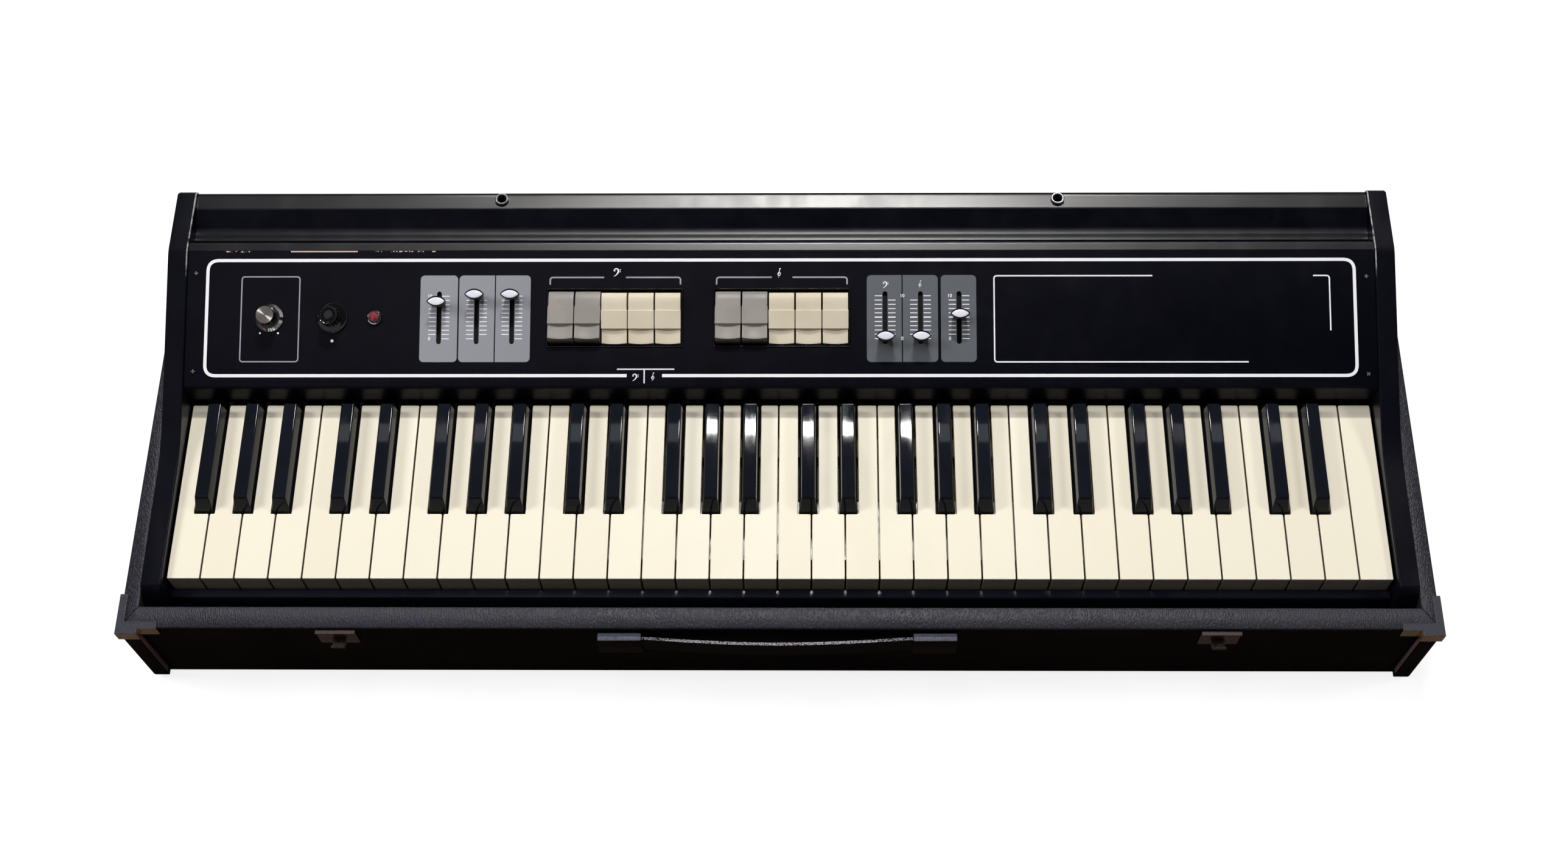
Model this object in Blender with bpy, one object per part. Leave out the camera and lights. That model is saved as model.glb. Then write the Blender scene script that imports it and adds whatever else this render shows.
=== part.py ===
"""String synthesizer: a 61-key organ-style keyboard in a vinyl-covered carrying tray.

Metres, +Z up.  +X is the treble side, the player sits at -Y.  The origin is the
centre of the footprint, on the floor.
"""
import math

import bmesh
import bpy
from mathutils import Matrix, Vector

# Clearances
TOUCH = 0.0003           # air left between pieces that touch
CHEEK_PLAY = 0.0005      # cheek to tray wall, each side

# Keyboard
OCTAVES = 5
KEY_PITCH = 0.0235
KEY_GAP = 0.0009
WHITE_LENGTH = 0.1345    # front edge to the back end of the plastic cover
WHITE_HEAD = 0.0490      # front edge to the front of the black keys
WHITE_COVER = 0.0035     # thickness of the cover's top
WHITE_LIP = 0.0190       # height of the front face
LIP_WALL = 0.0030
KEY_EDGE_ROUND = 0.0006
BLACK_NOTCH = 0.0145     # width cut out of the white keys for a black key
BLACK_BASE = 0.0128
BLACK_TOP = 0.0092
BLACK_RISE = 0.0120      # top of the black keys over the white ones
BLACK_FRONT_SLOPE = 0.0070
BLACK_BACK = 0.1300      # front edge of the white keys to the back of the black ones
BLACK_BASE_DROP = 0.0010
LEVER_WIDTH = 0.0070
LEVER_DROP = 0.0020      # lever top under the white tops
LEVER_DEPTH = 0.0090     # lever underside under the white tops
COMB_AXIS_FIRST = 0.1850  # front edge to the hinge of the F-A-C-E combs
COMB_AXIS_STEP = 0.0140  # the next comb's hinge lies this much nearer
COMB_BAR = 0.0080        # width of a comb's back bar
COMB_BAR_CLEAR = 0.0024  # bar top under the levers that cross it
COMB_HEEL = 0.0170       # underside of the combs under the white tops

# Positions of the black keys from the joint between two white keys
SHARP_SHIFT = {"F": -0.0036, "G": 0.0, "A": 0.0036, "C": -0.0023, "D": 0.0023}

# Carrying tray
TRAY_HEIGHT = 0.0840
SIDE_WALL = 0.0120
FRONT_BOARD = 0.0160
BACK_WALL = 0.0120
FLOOR_BOARD = 0.0090
POST_PROUD = 0.0038      # side walls stand this far in front of the front board
TRAY_ROUND = 0.0018
FOOT_HEIGHT = 0.0050
FOOT_RADIUS = 0.0110
FOOT_INSET = 0.0450
KEYS_BEHIND_BOARD = 0.0365
KEYS_UNDER_RIM = 0.0003

# Cheeks
CHEEK_GAP = 0.0015       # end keys to the cheeks
CHEEK_THICK = 0.0140
CHEEK_FRONT = 0.0155     # front end in front of the keys
CHEEK_NOSE = 0.0080      # where the front chamfer begins
CHEEK_NOSE_DROP = 0.0078
CHEEK_ARM_Z = 0.0065     # top of the low arm over the white keys, at the nose
CHEEK_ARM_RISE = 0.0025
CHEEK_BEND_RADIUS = 0.1200
CHEEK_KNEE_RADIUS = 0.0200
CHEEK_OVER_PANEL = 0.0022
CHEEK_TOP_Z = 0.0580
CHEEK_BACK_BEVEL = 0.0035
CHEEK_ROUND = 0.0006

# Control panel
PANEL_SLOPE = math.radians(20.0)
PANEL_LENGTH = 0.0992
PANEL_Y = 0.1370         # lower bend behind the key fronts
PANEL_Z = 0.0220         # lower bend over the white keys
PANEL_SHEET = 0.0020
PANEL_LIP = 0.0175       # height of the folded lip
CONTROL_LINE = 0.0505    # middle of the controls, up the slope

# Sliders
SLOT_WIDTH = 0.0034
SLIDER_TRAVEL = 0.0300
SLOT_END = 0.0040        # slot beyond the travel at each end
SLIDER_CAP_LENGTH = 0.0140
SLIDER_CAP_WIDTH = 0.0078
SLIDER_CAP_FOOT = 0.78   # foot of the cap as a share of its top
SLIDER_CAP_LOW = 0.0018
SLIDER_CAP_HIGH = 0.0125
STEM_WIDTH = 0.0026
STEM_THICK = 0.0018
# name, place along the panel, share of the travel
SLIDERS = (
    ("volume_slider", -0.2425, 0.83),
    ("brass_tone_slider", -0.2156, 1.0),
    ("strings_tone_slider", -0.1903, 1.0),
    ("bass_sustain_slider", 0.0758, 0.0),
    ("treble_sustain_slider", 0.1010, 0.0),
    ("vibrato_slider", 0.1284, 0.53),
)

# Rocker tabs
TAB_PITCH = 0.0191
TABS_PER_BANK = 5
TAB_WIDTH = 0.0179
TAB_LENGTH = 0.0370
TAB_FACE = 0.0052        # front face over the panel, tab level
TAB_STEP = 0.0007        # height of the raised middle band
TAB_UNDER = 0.0060       # underside below the panel face
TAB_PIVOT = 0.0050       # pivot below the panel face
TAB_BOSS = 0.0025
TAB_ROCK = math.radians(9.0)
BANK_X = {"bass": -0.1169, "treble": 0.0022}
BANK_WALL = 0.0010
BANK_PROUD = 0.0006
BANK_DEPTH = 0.0120
BANK_FLOOR = 0.0015
BANK_ROOM = 0.0018       # air past the ends of a level tab
GREY_TABS = 2

# Rotary controls
TUNE_X = -0.3639
POWER_X = -0.3190
LAMP_X = -0.2885
SHAFT_RADIUS = 0.0030
SHAFT_PLAY = 0.0004
TUNE_SKIRT = 0.0101
TUNE_BODY = 0.0070
POWER_SKIRT = 0.0111
POWER_BODY = 0.0076
KNOB_HEIGHT = 0.0140
LAMP_BEZEL = 0.0054
LAMP_STEM = 0.0040

# Rear moulding
MOULDING_DEEP = 0.0170    # depth of the solid rail
MOULDING_DEPTH = 0.0510  # panel's upper edge to the back
MOULDING_TOP_Z = 0.0550
MOULDING_FLAT = 0.0125
MOULDING_CORNER = 0.0025
MOULDING_COVE = 0.0095   # radius of the hollow
MOULDING_DROP = 0.0077   # flat top to the ledge in the hollow
MOULDING_NOSE = 0.0092   # width of the rounded nose next to the panel
MOULDING_PROUD = 0.0003  # nose over the panel's edge
REAR_PANEL_SHEET = 0.0025

# Music-rest sockets
SOCKET_X = 0.2013
SOCKET_FROM_BACK = 0.0075
SOCKET_BORE = 0.0032
SOCKET_TUBE = 0.0044
SOCKET_RIM = 0.0050
SOCKET_RIM_HIGH = 0.0018
SOCKET_DEEP = 0.0240

# Jack and cord gland in the rear panel
JACK_X = -0.3000
GLAND_X = 0.3400
REAR_FITTING_Z = 0.0200
JACK_BORE = 0.0033
JACK_TUBE = 0.0046
JACK_NUT = 0.0070
JACK_BODY = 0.0220
GLAND_BORE = 0.0040
GLAND_TUBE = 0.0070
GLAND_RIM = 0.0095

# Front hardware
HANDLE_CAP_X = 0.1080
HANDLE_CAP_LENGTH = 0.0305
HANDLE_CAP_HEIGHT = 0.0240
HANDLE_CAP_DEPTH = 0.0064
HANDLE_TOP_DROP = 0.0066
STRAP_THICK = 0.0026
STRAP_HEIGHT = 0.0190
STRAP_BOW = 0.0042       # the strap's middle in front of its ends
STRAP_IN_CAP = 0.0200
STRAP_PLAY = 0.0006
LATCH_X = 0.3024
LATCH_WIDTH = 0.0272
LATCH_HEIGHT = 0.0215
LATCH_DROP = 0.0030
LATCH_SHEET = 0.0012
LATCH_FLANGE = 0.0030
HOOK_WIDTH = 0.0095
HOOK_RADIUS = 0.0032
CORNER_SHEET = 0.0012
CORNER_ARM = 0.0280
CORNER_TOP = 0.0040      # width of the arms on the rim
CORNER_FACE = 0.0090     # height of the arms on the outer faces

# Works inside
SLIP_THICK = 0.0064
SLIP_FROM_KEYS = 0.0017
SLIP_TOP = 0.0150        # under the white tops
BED_SHEET = 0.0020
BED_FOOT = 0.0100
BED_FRONT_Y = 0.0220
BED_RAIL = 0.0360
BED_RAIL_DROP = 0.0185
BED_DECK_DROP = 0.0240
BED_HINGE_FRONT = 0.1460
BED_HINGE_BACK = 0.1960
CONTACT_Y = 0.0700
CONTACT_DEPTH = 0.0640
BOARD_SHEET = 0.0016
PANEL_BOARD_DEEP = 0.0143
BOARD_LEG = 0.0090
BOARD_LEG_WIDTH = 0.0070
CONTACT_STRIP_BACK = 0.0200   # strip to the contact board's back edge
CONTACT_STRIP_WIDTH = 0.0140
CONTACT_STRIP_HEIGHT = 0.0094
CONTACT_STRIP_KEYS = 6.5      # key widths that one strip runs under
TONE_BOARD_BACK = 0.0075      # board to the back of the unit
TONE_BOARD_DEPTH = 0.0620
TONE_BOARD_LEFT = -0.3300
TONE_BOARD_WIDTH = 0.5500
CHIPS = 12
CHIP_LENGTH = 0.0200
CHIP_WIDTH = 0.0070
CHIP_HEIGHT = 0.0060
CHIP_ROWS = (0.0140, 0.0380)
TRANSFORMER_X = 0.3400
TRANSFORMER_BACK = 0.0375     # its middle to the back of the unit
TRANSFORMER_CORE = (0.0620, 0.0300, 0.0500)
TRANSFORMER_COIL = (0.0380, 0.0500, 0.0340)
TRANSFORMER_EAR = 0.0100
TRANSFORMER_PLATE = 0.0015
POT_HALF_WIDTH = 0.0045
POT_END = 0.0075              # slide pot beyond its travel
PANEL_BOARD_HALF = 0.0280
PANEL_BOARD_MARGIN = 0.0140
TUNE_POT_HALF = 0.0080
POWER_SWITCH_HALF = 0.0090
LAMP_HOLDER_HALF = 0.0050

# Places worked out from the sizes
WHITE_KEYS = 7 * OCTAVES + 1
KEYBOARD_HALF = WHITE_KEYS * KEY_PITCH / 2 - KEY_GAP / 2
CHEEK_X = KEYBOARD_HALF + CHEEK_GAP
TRAY_INNER_HALF = CHEEK_X + CHEEK_THICK + CHEEK_PLAY
TRAY_HALF = TRAY_INNER_HALF + SIDE_WALL
CAP_FRONT = HANDLE_CAP_DEPTH + TOUCH
STRAP_END_OUT = CAP_FRONT - (HANDLE_CAP_DEPTH - STRAP_THICK) / 2
STRAP_FRONT = STRAP_END_OUT + STRAP_BOW
PANEL_TOP_Y = PANEL_Y + PANEL_LENGTH * math.cos(PANEL_SLOPE)
PANEL_TOP_Z = PANEL_Z + PANEL_LENGTH * math.sin(PANEL_SLOPE)
UNIT_DEPTH = PANEL_TOP_Y + TOUCH + MOULDING_DEPTH
TRAY_DEPTH = KEYS_BEHIND_BOARD + UNIT_DEPTH + CHEEK_PLAY + BACK_WALL
BOARD_Y = (STRAP_FRONT - TRAY_DEPTH) / 2
BACK_Y = BOARD_Y + TRAY_DEPTH
KEY_Y = BOARD_Y + KEYS_BEHIND_BOARD
FLOOR_Z = FOOT_HEIGHT + FLOOR_BOARD
RIM_Z = FOOT_HEIGHT + TRAY_HEIGHT
KEY_Z = RIM_Z - KEYS_UNDER_RIM
SEAT_Z = FLOOR_Z + TOUCH
UNIT_BACK_Y = KEY_Y + UNIT_DEPTH
PANEL_ORIGIN = Vector((0.0, KEY_Y + PANEL_Y, KEY_Z + PANEL_Z))
PANEL_FRAME = Matrix.Translation(PANEL_ORIGIN) @ Matrix.Rotation(PANEL_SLOPE, 4, "X")
WORKS_HALF = CHEEK_X - TOUCH


def clear_scene():
    for item in list(bpy.data.objects):
        bpy.data.objects.remove(item, do_unlink=True)


def material(name, colour, roughness, metallic=0.0):
    mat = bpy.data.materials.get(name)
    if mat is None:
        mat = bpy.data.materials.new(name)
        mat.use_nodes = True
        shader = mat.node_tree.nodes["Principled BSDF"]
        shader.inputs["Base Color"].default_value = (*colour, 1.0)
        shader.inputs["Roughness"].default_value = roughness
        shader.inputs["Metallic"].default_value = metallic
    return mat


def finish(bm, name, mat, matrix=None, smooth=None):
    """Turn a bmesh into one named object with its own material."""
    bmesh.ops.recalc_face_normals(bm, faces=bm.faces)
    mesh = bpy.data.meshes.new(name)
    bm.to_mesh(mesh)
    bm.free()
    if smooth is not None:
        mesh.shade_smooth()
        mesh.set_sharp_from_angle(angle=math.radians(smooth))
    mesh.materials.append(mat)
    item = bpy.data.objects.new(name, mesh)
    bpy.context.scene.collection.objects.link(item)
    if matrix is not None:
        item.matrix_world = matrix
    return item


def add_bevel(item, width, segments=1, angle=40.0):
    mod = item.modifiers.new("edge", "BEVEL")
    mod.width = width
    mod.segments = segments
    mod.limit_method = "ANGLE"
    mod.angle_limit = math.radians(angle)
    return item


def bake(item):
    """Replace an object's mesh by what its modifiers make of it."""
    bpy.context.view_layer.update()
    graph = bpy.context.evaluated_depsgraph_get()
    mesh = bpy.data.meshes.new_from_object(item.evaluated_get(graph))
    item.modifiers.clear()
    item.data = mesh


def combine(item, others, operation):
    """Boolean the others into the item, one after another, and remove them."""
    for other in others:
        mod = item.modifiers.new("combine", "BOOLEAN")
        mod.operation = operation
        mod.solver = "EXACT"
        mod.object = other
        bake(item)
        bpy.data.objects.remove(other, do_unlink=True)
    return item


def prism(outline, x0, x1):
    """Side outline of (y, z) points, drawn out along X."""
    bm = bmesh.new()
    verts = [bm.verts.new((x0, y, z)) for y, z in outline]
    face = bm.faces.new(verts)
    grown = bmesh.ops.extrude_face_region(bm, geom=[face])
    moved = [g for g in grown["geom"] if isinstance(g, bmesh.types.BMVert)]
    bmesh.ops.translate(bm, verts=moved, vec=(x1 - x0, 0.0, 0.0))
    return bm


def column(outline, z0, z1, top_scale=1.0):
    """Plan outline of (x, y) points, drawn up along Z, its top scaled about the axis."""
    bm = bmesh.new()
    low = [bm.verts.new((x, y, z0)) for x, y in outline]
    high = [bm.verts.new((x * top_scale, y * top_scale, z1)) for x, y in outline]
    count = len(outline)
    bm.faces.new(low)
    bm.faces.new(high)
    for i in range(count):
        j = (i + 1) % count
        bm.faces.new((low[i], low[j], high[j], high[i]))
    return bm


def turned(profile, steps, closed=False):
    """Turn (radius, z) points about Z.  A closed profile makes a tube."""
    bm = bmesh.new()
    rings = []
    for radius, z in profile:
        if radius < 1e-6:
            rings.append([bm.verts.new((0.0, 0.0, z))])
            continue
        ring = []
        for k in range(steps):
            a = 2 * math.pi * k / steps
            ring.append(bm.verts.new((radius * math.cos(a), radius * math.sin(a), z)))
        rings.append(ring)
    pairs = list(zip(rings, rings[1:]))
    if closed:
        pairs.append((rings[-1], rings[0]))
    for a, b in pairs:
        for k in range(steps):
            j = (k + 1) % steps
            if len(a) == 1:
                bm.faces.new((a[0], b[j], b[k]))
            elif len(b) == 1:
                bm.faces.new((a[k], a[j], b[0]))
            else:
                bm.faces.new((a[k], a[j], b[j], b[k]))
    return bm


def joined_boxes(boxes):
    """One closed body from boxes (x0, x1, y0, y1, z0, z1) that share faces or overlap."""
    cuts = []
    for axis in range(3):
        marks = {round(v, 6) for box in boxes for v in box[2 * axis:2 * axis + 2]}
        cuts.append(sorted(marks))
    sizes = [len(c) - 1 for c in cuts]
    filled = set()
    for box in boxes:
        spans = []
        for axis in range(3):
            low = cuts[axis].index(round(box[2 * axis], 6))
            high = cuts[axis].index(round(box[2 * axis + 1], 6))
            spans.append(range(low, high))
        filled.update((i, j, k) for i in spans[0] for j in spans[1] for k in spans[2])
    bm = bmesh.new()
    made = {}

    def vert(i, j, k):
        if (i, j, k) not in made:
            made[(i, j, k)] = bm.verts.new((cuts[0][i], cuts[1][j], cuts[2][k]))
        return made[(i, j, k)]

    steps = ((1, 0, 0), (-1, 0, 0), (0, 1, 0), (0, -1, 0), (0, 0, 1), (0, 0, -1))
    for cell in filled:
        for step in steps:
            other = tuple(c + s for c, s in zip(cell, step))
            if other in filled and all(0 <= other[a] < sizes[a] for a in range(3)):
                continue
            axis = [abs(s) for s in step].index(1)
            base = list(cell)
            base[axis] += max(step[axis], 0)
            u, v = [a for a in range(3) if a != axis]
            corners = []
            for du, dv in ((0, 0), (1, 0), (1, 1), (0, 1)):
                corner = list(base)
                corner[u] += du
                corner[v] += dv
                corners.append(vert(*corner))
            bm.faces.new(corners)
    bmesh.ops.recalc_face_normals(bm, faces=bm.faces)
    bmesh.ops.dissolve_limit(
        bm, angle_limit=math.radians(1.0), verts=bm.verts, edges=bm.edges)
    return bm


def box_body(x0, x1, y0, y1, z0, z1):
    return joined_boxes([(x0, x1, y0, y1, z0, z1)])


def arc(cy, cz, radius, start, end, steps):
    """Points of an arc in degrees, in the (y, z) plane."""
    points = []
    for k in range(steps + 1):
        a = math.radians(start + (end - start) * k / steps)
        points.append((cy + radius * math.cos(a), cz + radius * math.sin(a)))
    return points


def fillet(before, corner, after, radius, steps):
    """Points of the arc that rounds a corner between two straight runs."""
    corner = Vector(corner)
    back = (Vector(before) - corner).normalized()
    ahead = (Vector(after) - corner).normalized()
    half = back.angle(ahead) / 2
    centre = corner + (back + ahead).normalized() * (radius / math.sin(half))
    start = corner + back * (radius / math.tan(half)) - centre
    turn = math.pi - 2 * half
    if back.x * ahead.y - back.y * ahead.x > 0:
        turn = -turn
    points = []
    for k in range(steps + 1):
        a = turn * k / steps
        points.append((centre.x + start.x * math.cos(a) - start.y * math.sin(a),
                       centre.y + start.x * math.sin(a) + start.y * math.cos(a)))
    return points


def folded_sheet(line, thickness):
    """Outline of a bent sheet: a line of points and its offset to the right."""
    offset = []
    for i, point in enumerate(line):
        here = Vector(point)
        before = (here - Vector(line[i - 1])).normalized() if i > 0 else None
        after = (Vector(line[i + 1]) - here).normalized() if i < len(line) - 1 else None
        before = before or after
        after = after or before
        n1 = Vector((before.y, -before.x))
        n2 = Vector((after.y, -after.x))
        mid = (n1 + n2).normalized()
        offset.append(here + mid * (thickness / max(mid.dot(n1), 0.2)))
    return list(line) + [tuple(p) for p in reversed(offset)]


def shifted(outline, dy, dz):
    return [(y + dy, z + dz) for y, z in outline]


# Finishes
VINYL = material("black_vinyl", (0.025, 0.024, 0.026), 0.75)
PAINT = material("black_paint", (0.012, 0.012, 0.015), 0.45)
PANEL_PAINT = material("panel_paint", (0.010, 0.011, 0.017), 0.5)
IVORY = material("ivory_plastic", (0.88, 0.84, 0.70), 0.3)
EBONY = material("black_key_plastic", (0.008, 0.009, 0.013), 0.15)
CREAM = material("cream_plastic", (0.72, 0.64, 0.50), 0.4)
GREY = material("grey_plastic", (0.33, 0.31, 0.30), 0.4)
BLACK_PLASTIC = material("black_plastic", (0.01, 0.01, 0.012), 0.35)
CHROME = material("chrome", (0.75, 0.75, 0.76), 0.12, 1.0)
STEEL = material("zinc_steel", (0.55, 0.54, 0.50), 0.4, 1.0)
JEWEL = material("red_jewel", (0.45, 0.02, 0.03), 0.1)
CIRCUIT = material("circuit_board", (0.12, 0.16, 0.06), 0.5)
LAMINATE = material("laminations", (0.10, 0.08, 0.07), 0.6)


def make_tray():
    back = BACK_Y
    front = BOARD_Y
    post = BOARD_Y - POST_PROUD
    half = TRAY_HALF
    inner = TRAY_INNER_HALF
    low = FOOT_HEIGHT
    bm = joined_boxes([
        (-half, half, front, back, low, FLOOR_Z),
        (-half, -inner, post, back, low, RIM_Z),
        (inner, half, post, back, low, RIM_Z),
        (-half, half, front, front + FRONT_BOARD, low, RIM_Z),
        (-half, half, back - BACK_WALL, back, low, RIM_Z),
    ])
    tops = [e for e in bm.edges if all(v.co.z > RIM_Z - 1e-5 for v in e.verts)]
    outer = [e for e in bm.edges
             if all(abs(abs(v.co.x) - half) < 1e-5 for v in e.verts) and e not in tops
             and abs(e.verts[0].co.z - e.verts[1].co.z) > 0.01]
    bmesh.ops.bevel(bm, geom=tops + outer, offset=TRAY_ROUND, segments=2,
                    profile=0.5, affect="EDGES")
    tray = finish(bm, "case_tray", VINYL)
    feet = []
    for sx in (-1, 1):
        for y in (front + FOOT_INSET, back - FOOT_INSET):
            foot = turned([(0.0, 0.0), (FOOT_RADIUS - 0.002, 0.0), (FOOT_RADIUS, 0.0015),
                           (FOOT_RADIUS, FOOT_HEIGHT + 0.001),
                           (0.0, FOOT_HEIGHT + 0.001)], 16)
            place = Matrix.Translation((sx * (half - FOOT_INSET), y, 0.0))
            feet.append(finish(foot, "foot", VINYL, place))
    combine(tray, feet, "UNION")


def cheek_outline():
    """Side view of a cheek: low arm by the keys, slope by the panel, flat hood."""
    slope = math.tan(PANEL_SLOPE)
    drop = CHEEK_OVER_PANEL / math.cos(PANEL_SLOPE)

    def on_slope(z):
        return (PANEL_Y + (z - PANEL_Z - drop) / slope, z)

    top = CHEEK_TOP_Z
    back = UNIT_DEPTH
    floor = SEAT_Z - KEY_Z
    shoulder = (back - CHEEK_BACK_BEVEL, top)
    knee = on_slope(top)
    bend = on_slope(CHEEK_ARM_Z + CHEEK_ARM_RISE)
    nose = (-CHEEK_NOSE, CHEEK_ARM_Z)
    outline = [(-CHEEK_FRONT, floor), (back, floor), (back, top - CHEEK_BACK_BEVEL), shoulder]
    outline += fillet(shoulder, knee, bend, CHEEK_KNEE_RADIUS, 3)
    outline += fillet(knee, bend, nose, CHEEK_BEND_RADIUS, 5)
    outline += [nose, (-CHEEK_FRONT, -CHEEK_NOSE_DROP)]
    return outline


def make_cheeks():
    outline = shifted(cheek_outline(), KEY_Y, KEY_Z)
    for name, x in (("left_cheek", -CHEEK_X - CHEEK_THICK), ("right_cheek", CHEEK_X)):
        item = finish(prism(outline, x, x + CHEEK_THICK), name, PAINT)
        add_bevel(item, CHEEK_ROUND, angle=20.0)


def moulding_outline():
    """Section of the solid top rail: flat back, hollow, ledge and rounded nose."""
    top = MOULDING_TOP_Z
    back = UNIT_DEPTH
    corner = MOULDING_CORNER
    cove = MOULDING_COVE
    cove_y = back - MOULDING_FLAT
    ledge_z = top - MOULDING_DROP
    front = PANEL_TOP_Y + TOUCH
    nose_back = front + MOULDING_NOSE
    nose_top = PANEL_TOP_Z + MOULDING_PROUD
    radius = nose_top - ledge_z
    bottom = top - MOULDING_DEEP
    turn = math.degrees(math.asin(min(MOULDING_DROP / cove, 1.0)))
    reach = PANEL_SHEET + TOUCH
    below_y = front + reach * math.sin(PANEL_SLOPE)
    line = [(back, bottom)]
    line += arc(back - corner, top - corner, corner, 0, 90, 3)
    line += [(cove_y, top)]
    line += arc(cove_y - cove, top, cove, -20, -180 + turn, 5)
    line += [(nose_back, ledge_z)]
    line += arc(nose_back - radius, ledge_z, radius, 15, 75, 4)
    line += [
        (front, PANEL_TOP_Z),
        (below_y, PANEL_TOP_Z - reach * math.cos(PANEL_SLOPE)),
        (below_y, bottom),
    ]
    return line


def make_moulding():
    outline = shifted(moulding_outline(), KEY_Y, KEY_Z)
    item = finish(prism(outline, -WORKS_HALF, WORKS_HALF), "rear_moulding", PAINT,
                  smooth=35)
    holes = []
    y = socket_y()
    for x in (-SOCKET_X, SOCKET_X):
        radius = SOCKET_TUBE + TOUCH
        hole = turned([(0.0, -0.03), (radius, -0.03), (radius, 0.03), (0.0, 0.03)], 20)
        holes.append(finish(hole, "hole", PAINT,
                            Matrix.Translation((x, y, KEY_Z + MOULDING_TOP_Z))))
    combine(item, holes, "DIFFERENCE")


def socket_y():
    return UNIT_BACK_Y - SOCKET_FROM_BACK


def make_sockets():
    rim = SOCKET_RIM_HIGH
    profile = [
        (SOCKET_BORE, -SOCKET_DEEP), (SOCKET_TUBE, -SOCKET_DEEP), (SOCKET_TUBE, TOUCH),
        (SOCKET_RIM, TOUCH), (SOCKET_RIM, rim * 0.6), (SOCKET_RIM - rim * 0.4, rim),
        (SOCKET_BORE + rim * 0.3, rim), (SOCKET_BORE, rim * 0.7),
    ]
    for name, x in (("left_rest_socket", -SOCKET_X), ("right_rest_socket", SOCKET_X)):
        place = Matrix.Translation((x, socket_y(), KEY_Z + MOULDING_TOP_Z))
        finish(turned(profile, 20, closed=True), name, CHROME, place, smooth=40)


def make_rear_panel():
    top = KEY_Z + MOULDING_TOP_Z - MOULDING_DEEP - TOUCH
    back = UNIT_BACK_Y
    item = finish(box_body(-WORKS_HALF, WORKS_HALF, back - REAR_PANEL_SHEET, back,
                           SEAT_Z, top), "rear_panel", PAINT)
    holes = []
    for x, radius in ((JACK_X, JACK_TUBE + TOUCH), (GLAND_X, GLAND_TUBE + TOUCH)):
        hole = turned([(0.0, -0.01), (radius, -0.01), (radius, 0.01), (0.0, 0.01)], 20)
        holes.append(finish(hole, "hole", PAINT, rear_fitting(x)))
    combine(item, holes, "DIFFERENCE")


def rear_fitting(x):
    """Frame of a fitting in the rear panel, its own +Z pointing out of the back."""
    place = Matrix.Translation((x, UNIT_BACK_Y, KEY_Z + REAR_FITTING_Z))
    return place @ Matrix.Rotation(math.radians(-90), 4, "X")


def make_rear_fittings():
    jack = [
        (JACK_BORE, -JACK_BODY), (JACK_TUBE, -JACK_BODY), (JACK_TUBE, TOUCH),
        (JACK_NUT, TOUCH), (JACK_NUT, 0.0020), (JACK_TUBE, 0.0024),
        (JACK_TUBE, 0.0045), (JACK_BORE, 0.0045),
    ]
    finish(turned(jack, 12, closed=True), "output_jack", CHROME, rear_fitting(JACK_X))
    gland = [
        (GLAND_BORE, -0.0120), (GLAND_TUBE, -0.0120), (GLAND_TUBE, TOUCH),
        (GLAND_RIM, TOUCH), (GLAND_RIM, 0.0030), (GLAND_RIM - 0.0030, 0.0070),
        (GLAND_BORE, 0.0070),
    ]
    finish(turned(gland, 16, closed=True), "cord_gland", BLACK_PLASTIC,
           rear_fitting(GLAND_X), smooth=40)


def slot_outline(half_width, half_length, steps):
    points = []
    for side in (0, 180):
        for k in range(steps + 1):
            a = math.radians(side + 180 * k / steps)
            shift = half_length - half_width
            y = shift if side == 0 else -shift
            points.append((half_width * math.cos(a), y + half_width * math.sin(a)))
    return points


def bank_outer():
    half_x = TABS_PER_BANK * TAB_PITCH / 2 + BANK_WALL
    half_s = TAB_LENGTH / 2 + BANK_ROOM + BANK_WALL
    return half_x, half_s


def make_control_panel():
    cos_s, sin_s = math.cos(PANEL_SLOPE), math.sin(PANEL_SLOPE)
    top = (PANEL_Y + PANEL_LENGTH * cos_s, PANEL_Z + PANEL_LENGTH * sin_s)
    line = [(PANEL_Y, PANEL_Z - PANEL_LIP), (PANEL_Y, PANEL_Z), top]
    outline = shifted(folded_sheet(line, PANEL_SHEET), KEY_Y, KEY_Z)
    item = finish(prism(outline, -WORKS_HALF, WORKS_HALF), "control_panel", PANEL_PAINT)
    cutters = []
    half_slot = SLIDER_TRAVEL / 2 + SLOT_END
    for _, x, _ in SLIDERS:
        slot = column(slot_outline(SLOT_WIDTH / 2, half_slot, 4), -0.01, 0.01)
        cutters.append(finish(slot, "slot", PANEL_PAINT, panel_place(x, CONTROL_LINE)))
    half_x, half_s = bank_outer()
    for x in BANK_X.values():
        gap = TOUCH
        opening = box_body(-half_x - gap, half_x + gap, -half_s - gap, half_s + gap,
                           -0.01, 0.01)
        cutters.append(finish(opening, "opening", PANEL_PAINT,
                              panel_place(x, CONTROL_LINE)))
    for x, radius in ((TUNE_X, SHAFT_RADIUS), (POWER_X, SHAFT_RADIUS),
                      (LAMP_X, LAMP_STEM)):
        radius += SHAFT_PLAY
        hole = turned([(0.0, -0.01), (radius, -0.01), (radius, 0.01), (0.0, 0.01)], 16)
        cutters.append(finish(hole, "hole", PANEL_PAINT, panel_place(x, CONTROL_LINE)))
    combine(item, cutters, "DIFFERENCE")


def panel_place(x, s, n=0.0):
    """Frame of a control on the panel: X along it, Y up the slope, Z out of it."""
    return PANEL_FRAME @ Matrix.Translation((x, s, n))


def lens_outline(length, width, steps=7):
    """Two equal arcs that meet in a point at each end."""
    half = length / 2
    radius = (half * half + width * width / 4) / width
    reach = math.asin(half / radius)
    points = []
    for side in (1, -1):
        for k in range(steps):
            a = -reach + 2 * reach * k / steps
            x = side * radius * math.sin(a) * -1
            y = side * (radius * math.cos(a) - (radius - width / 2))
            points.append((x, y))
    return points


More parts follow.
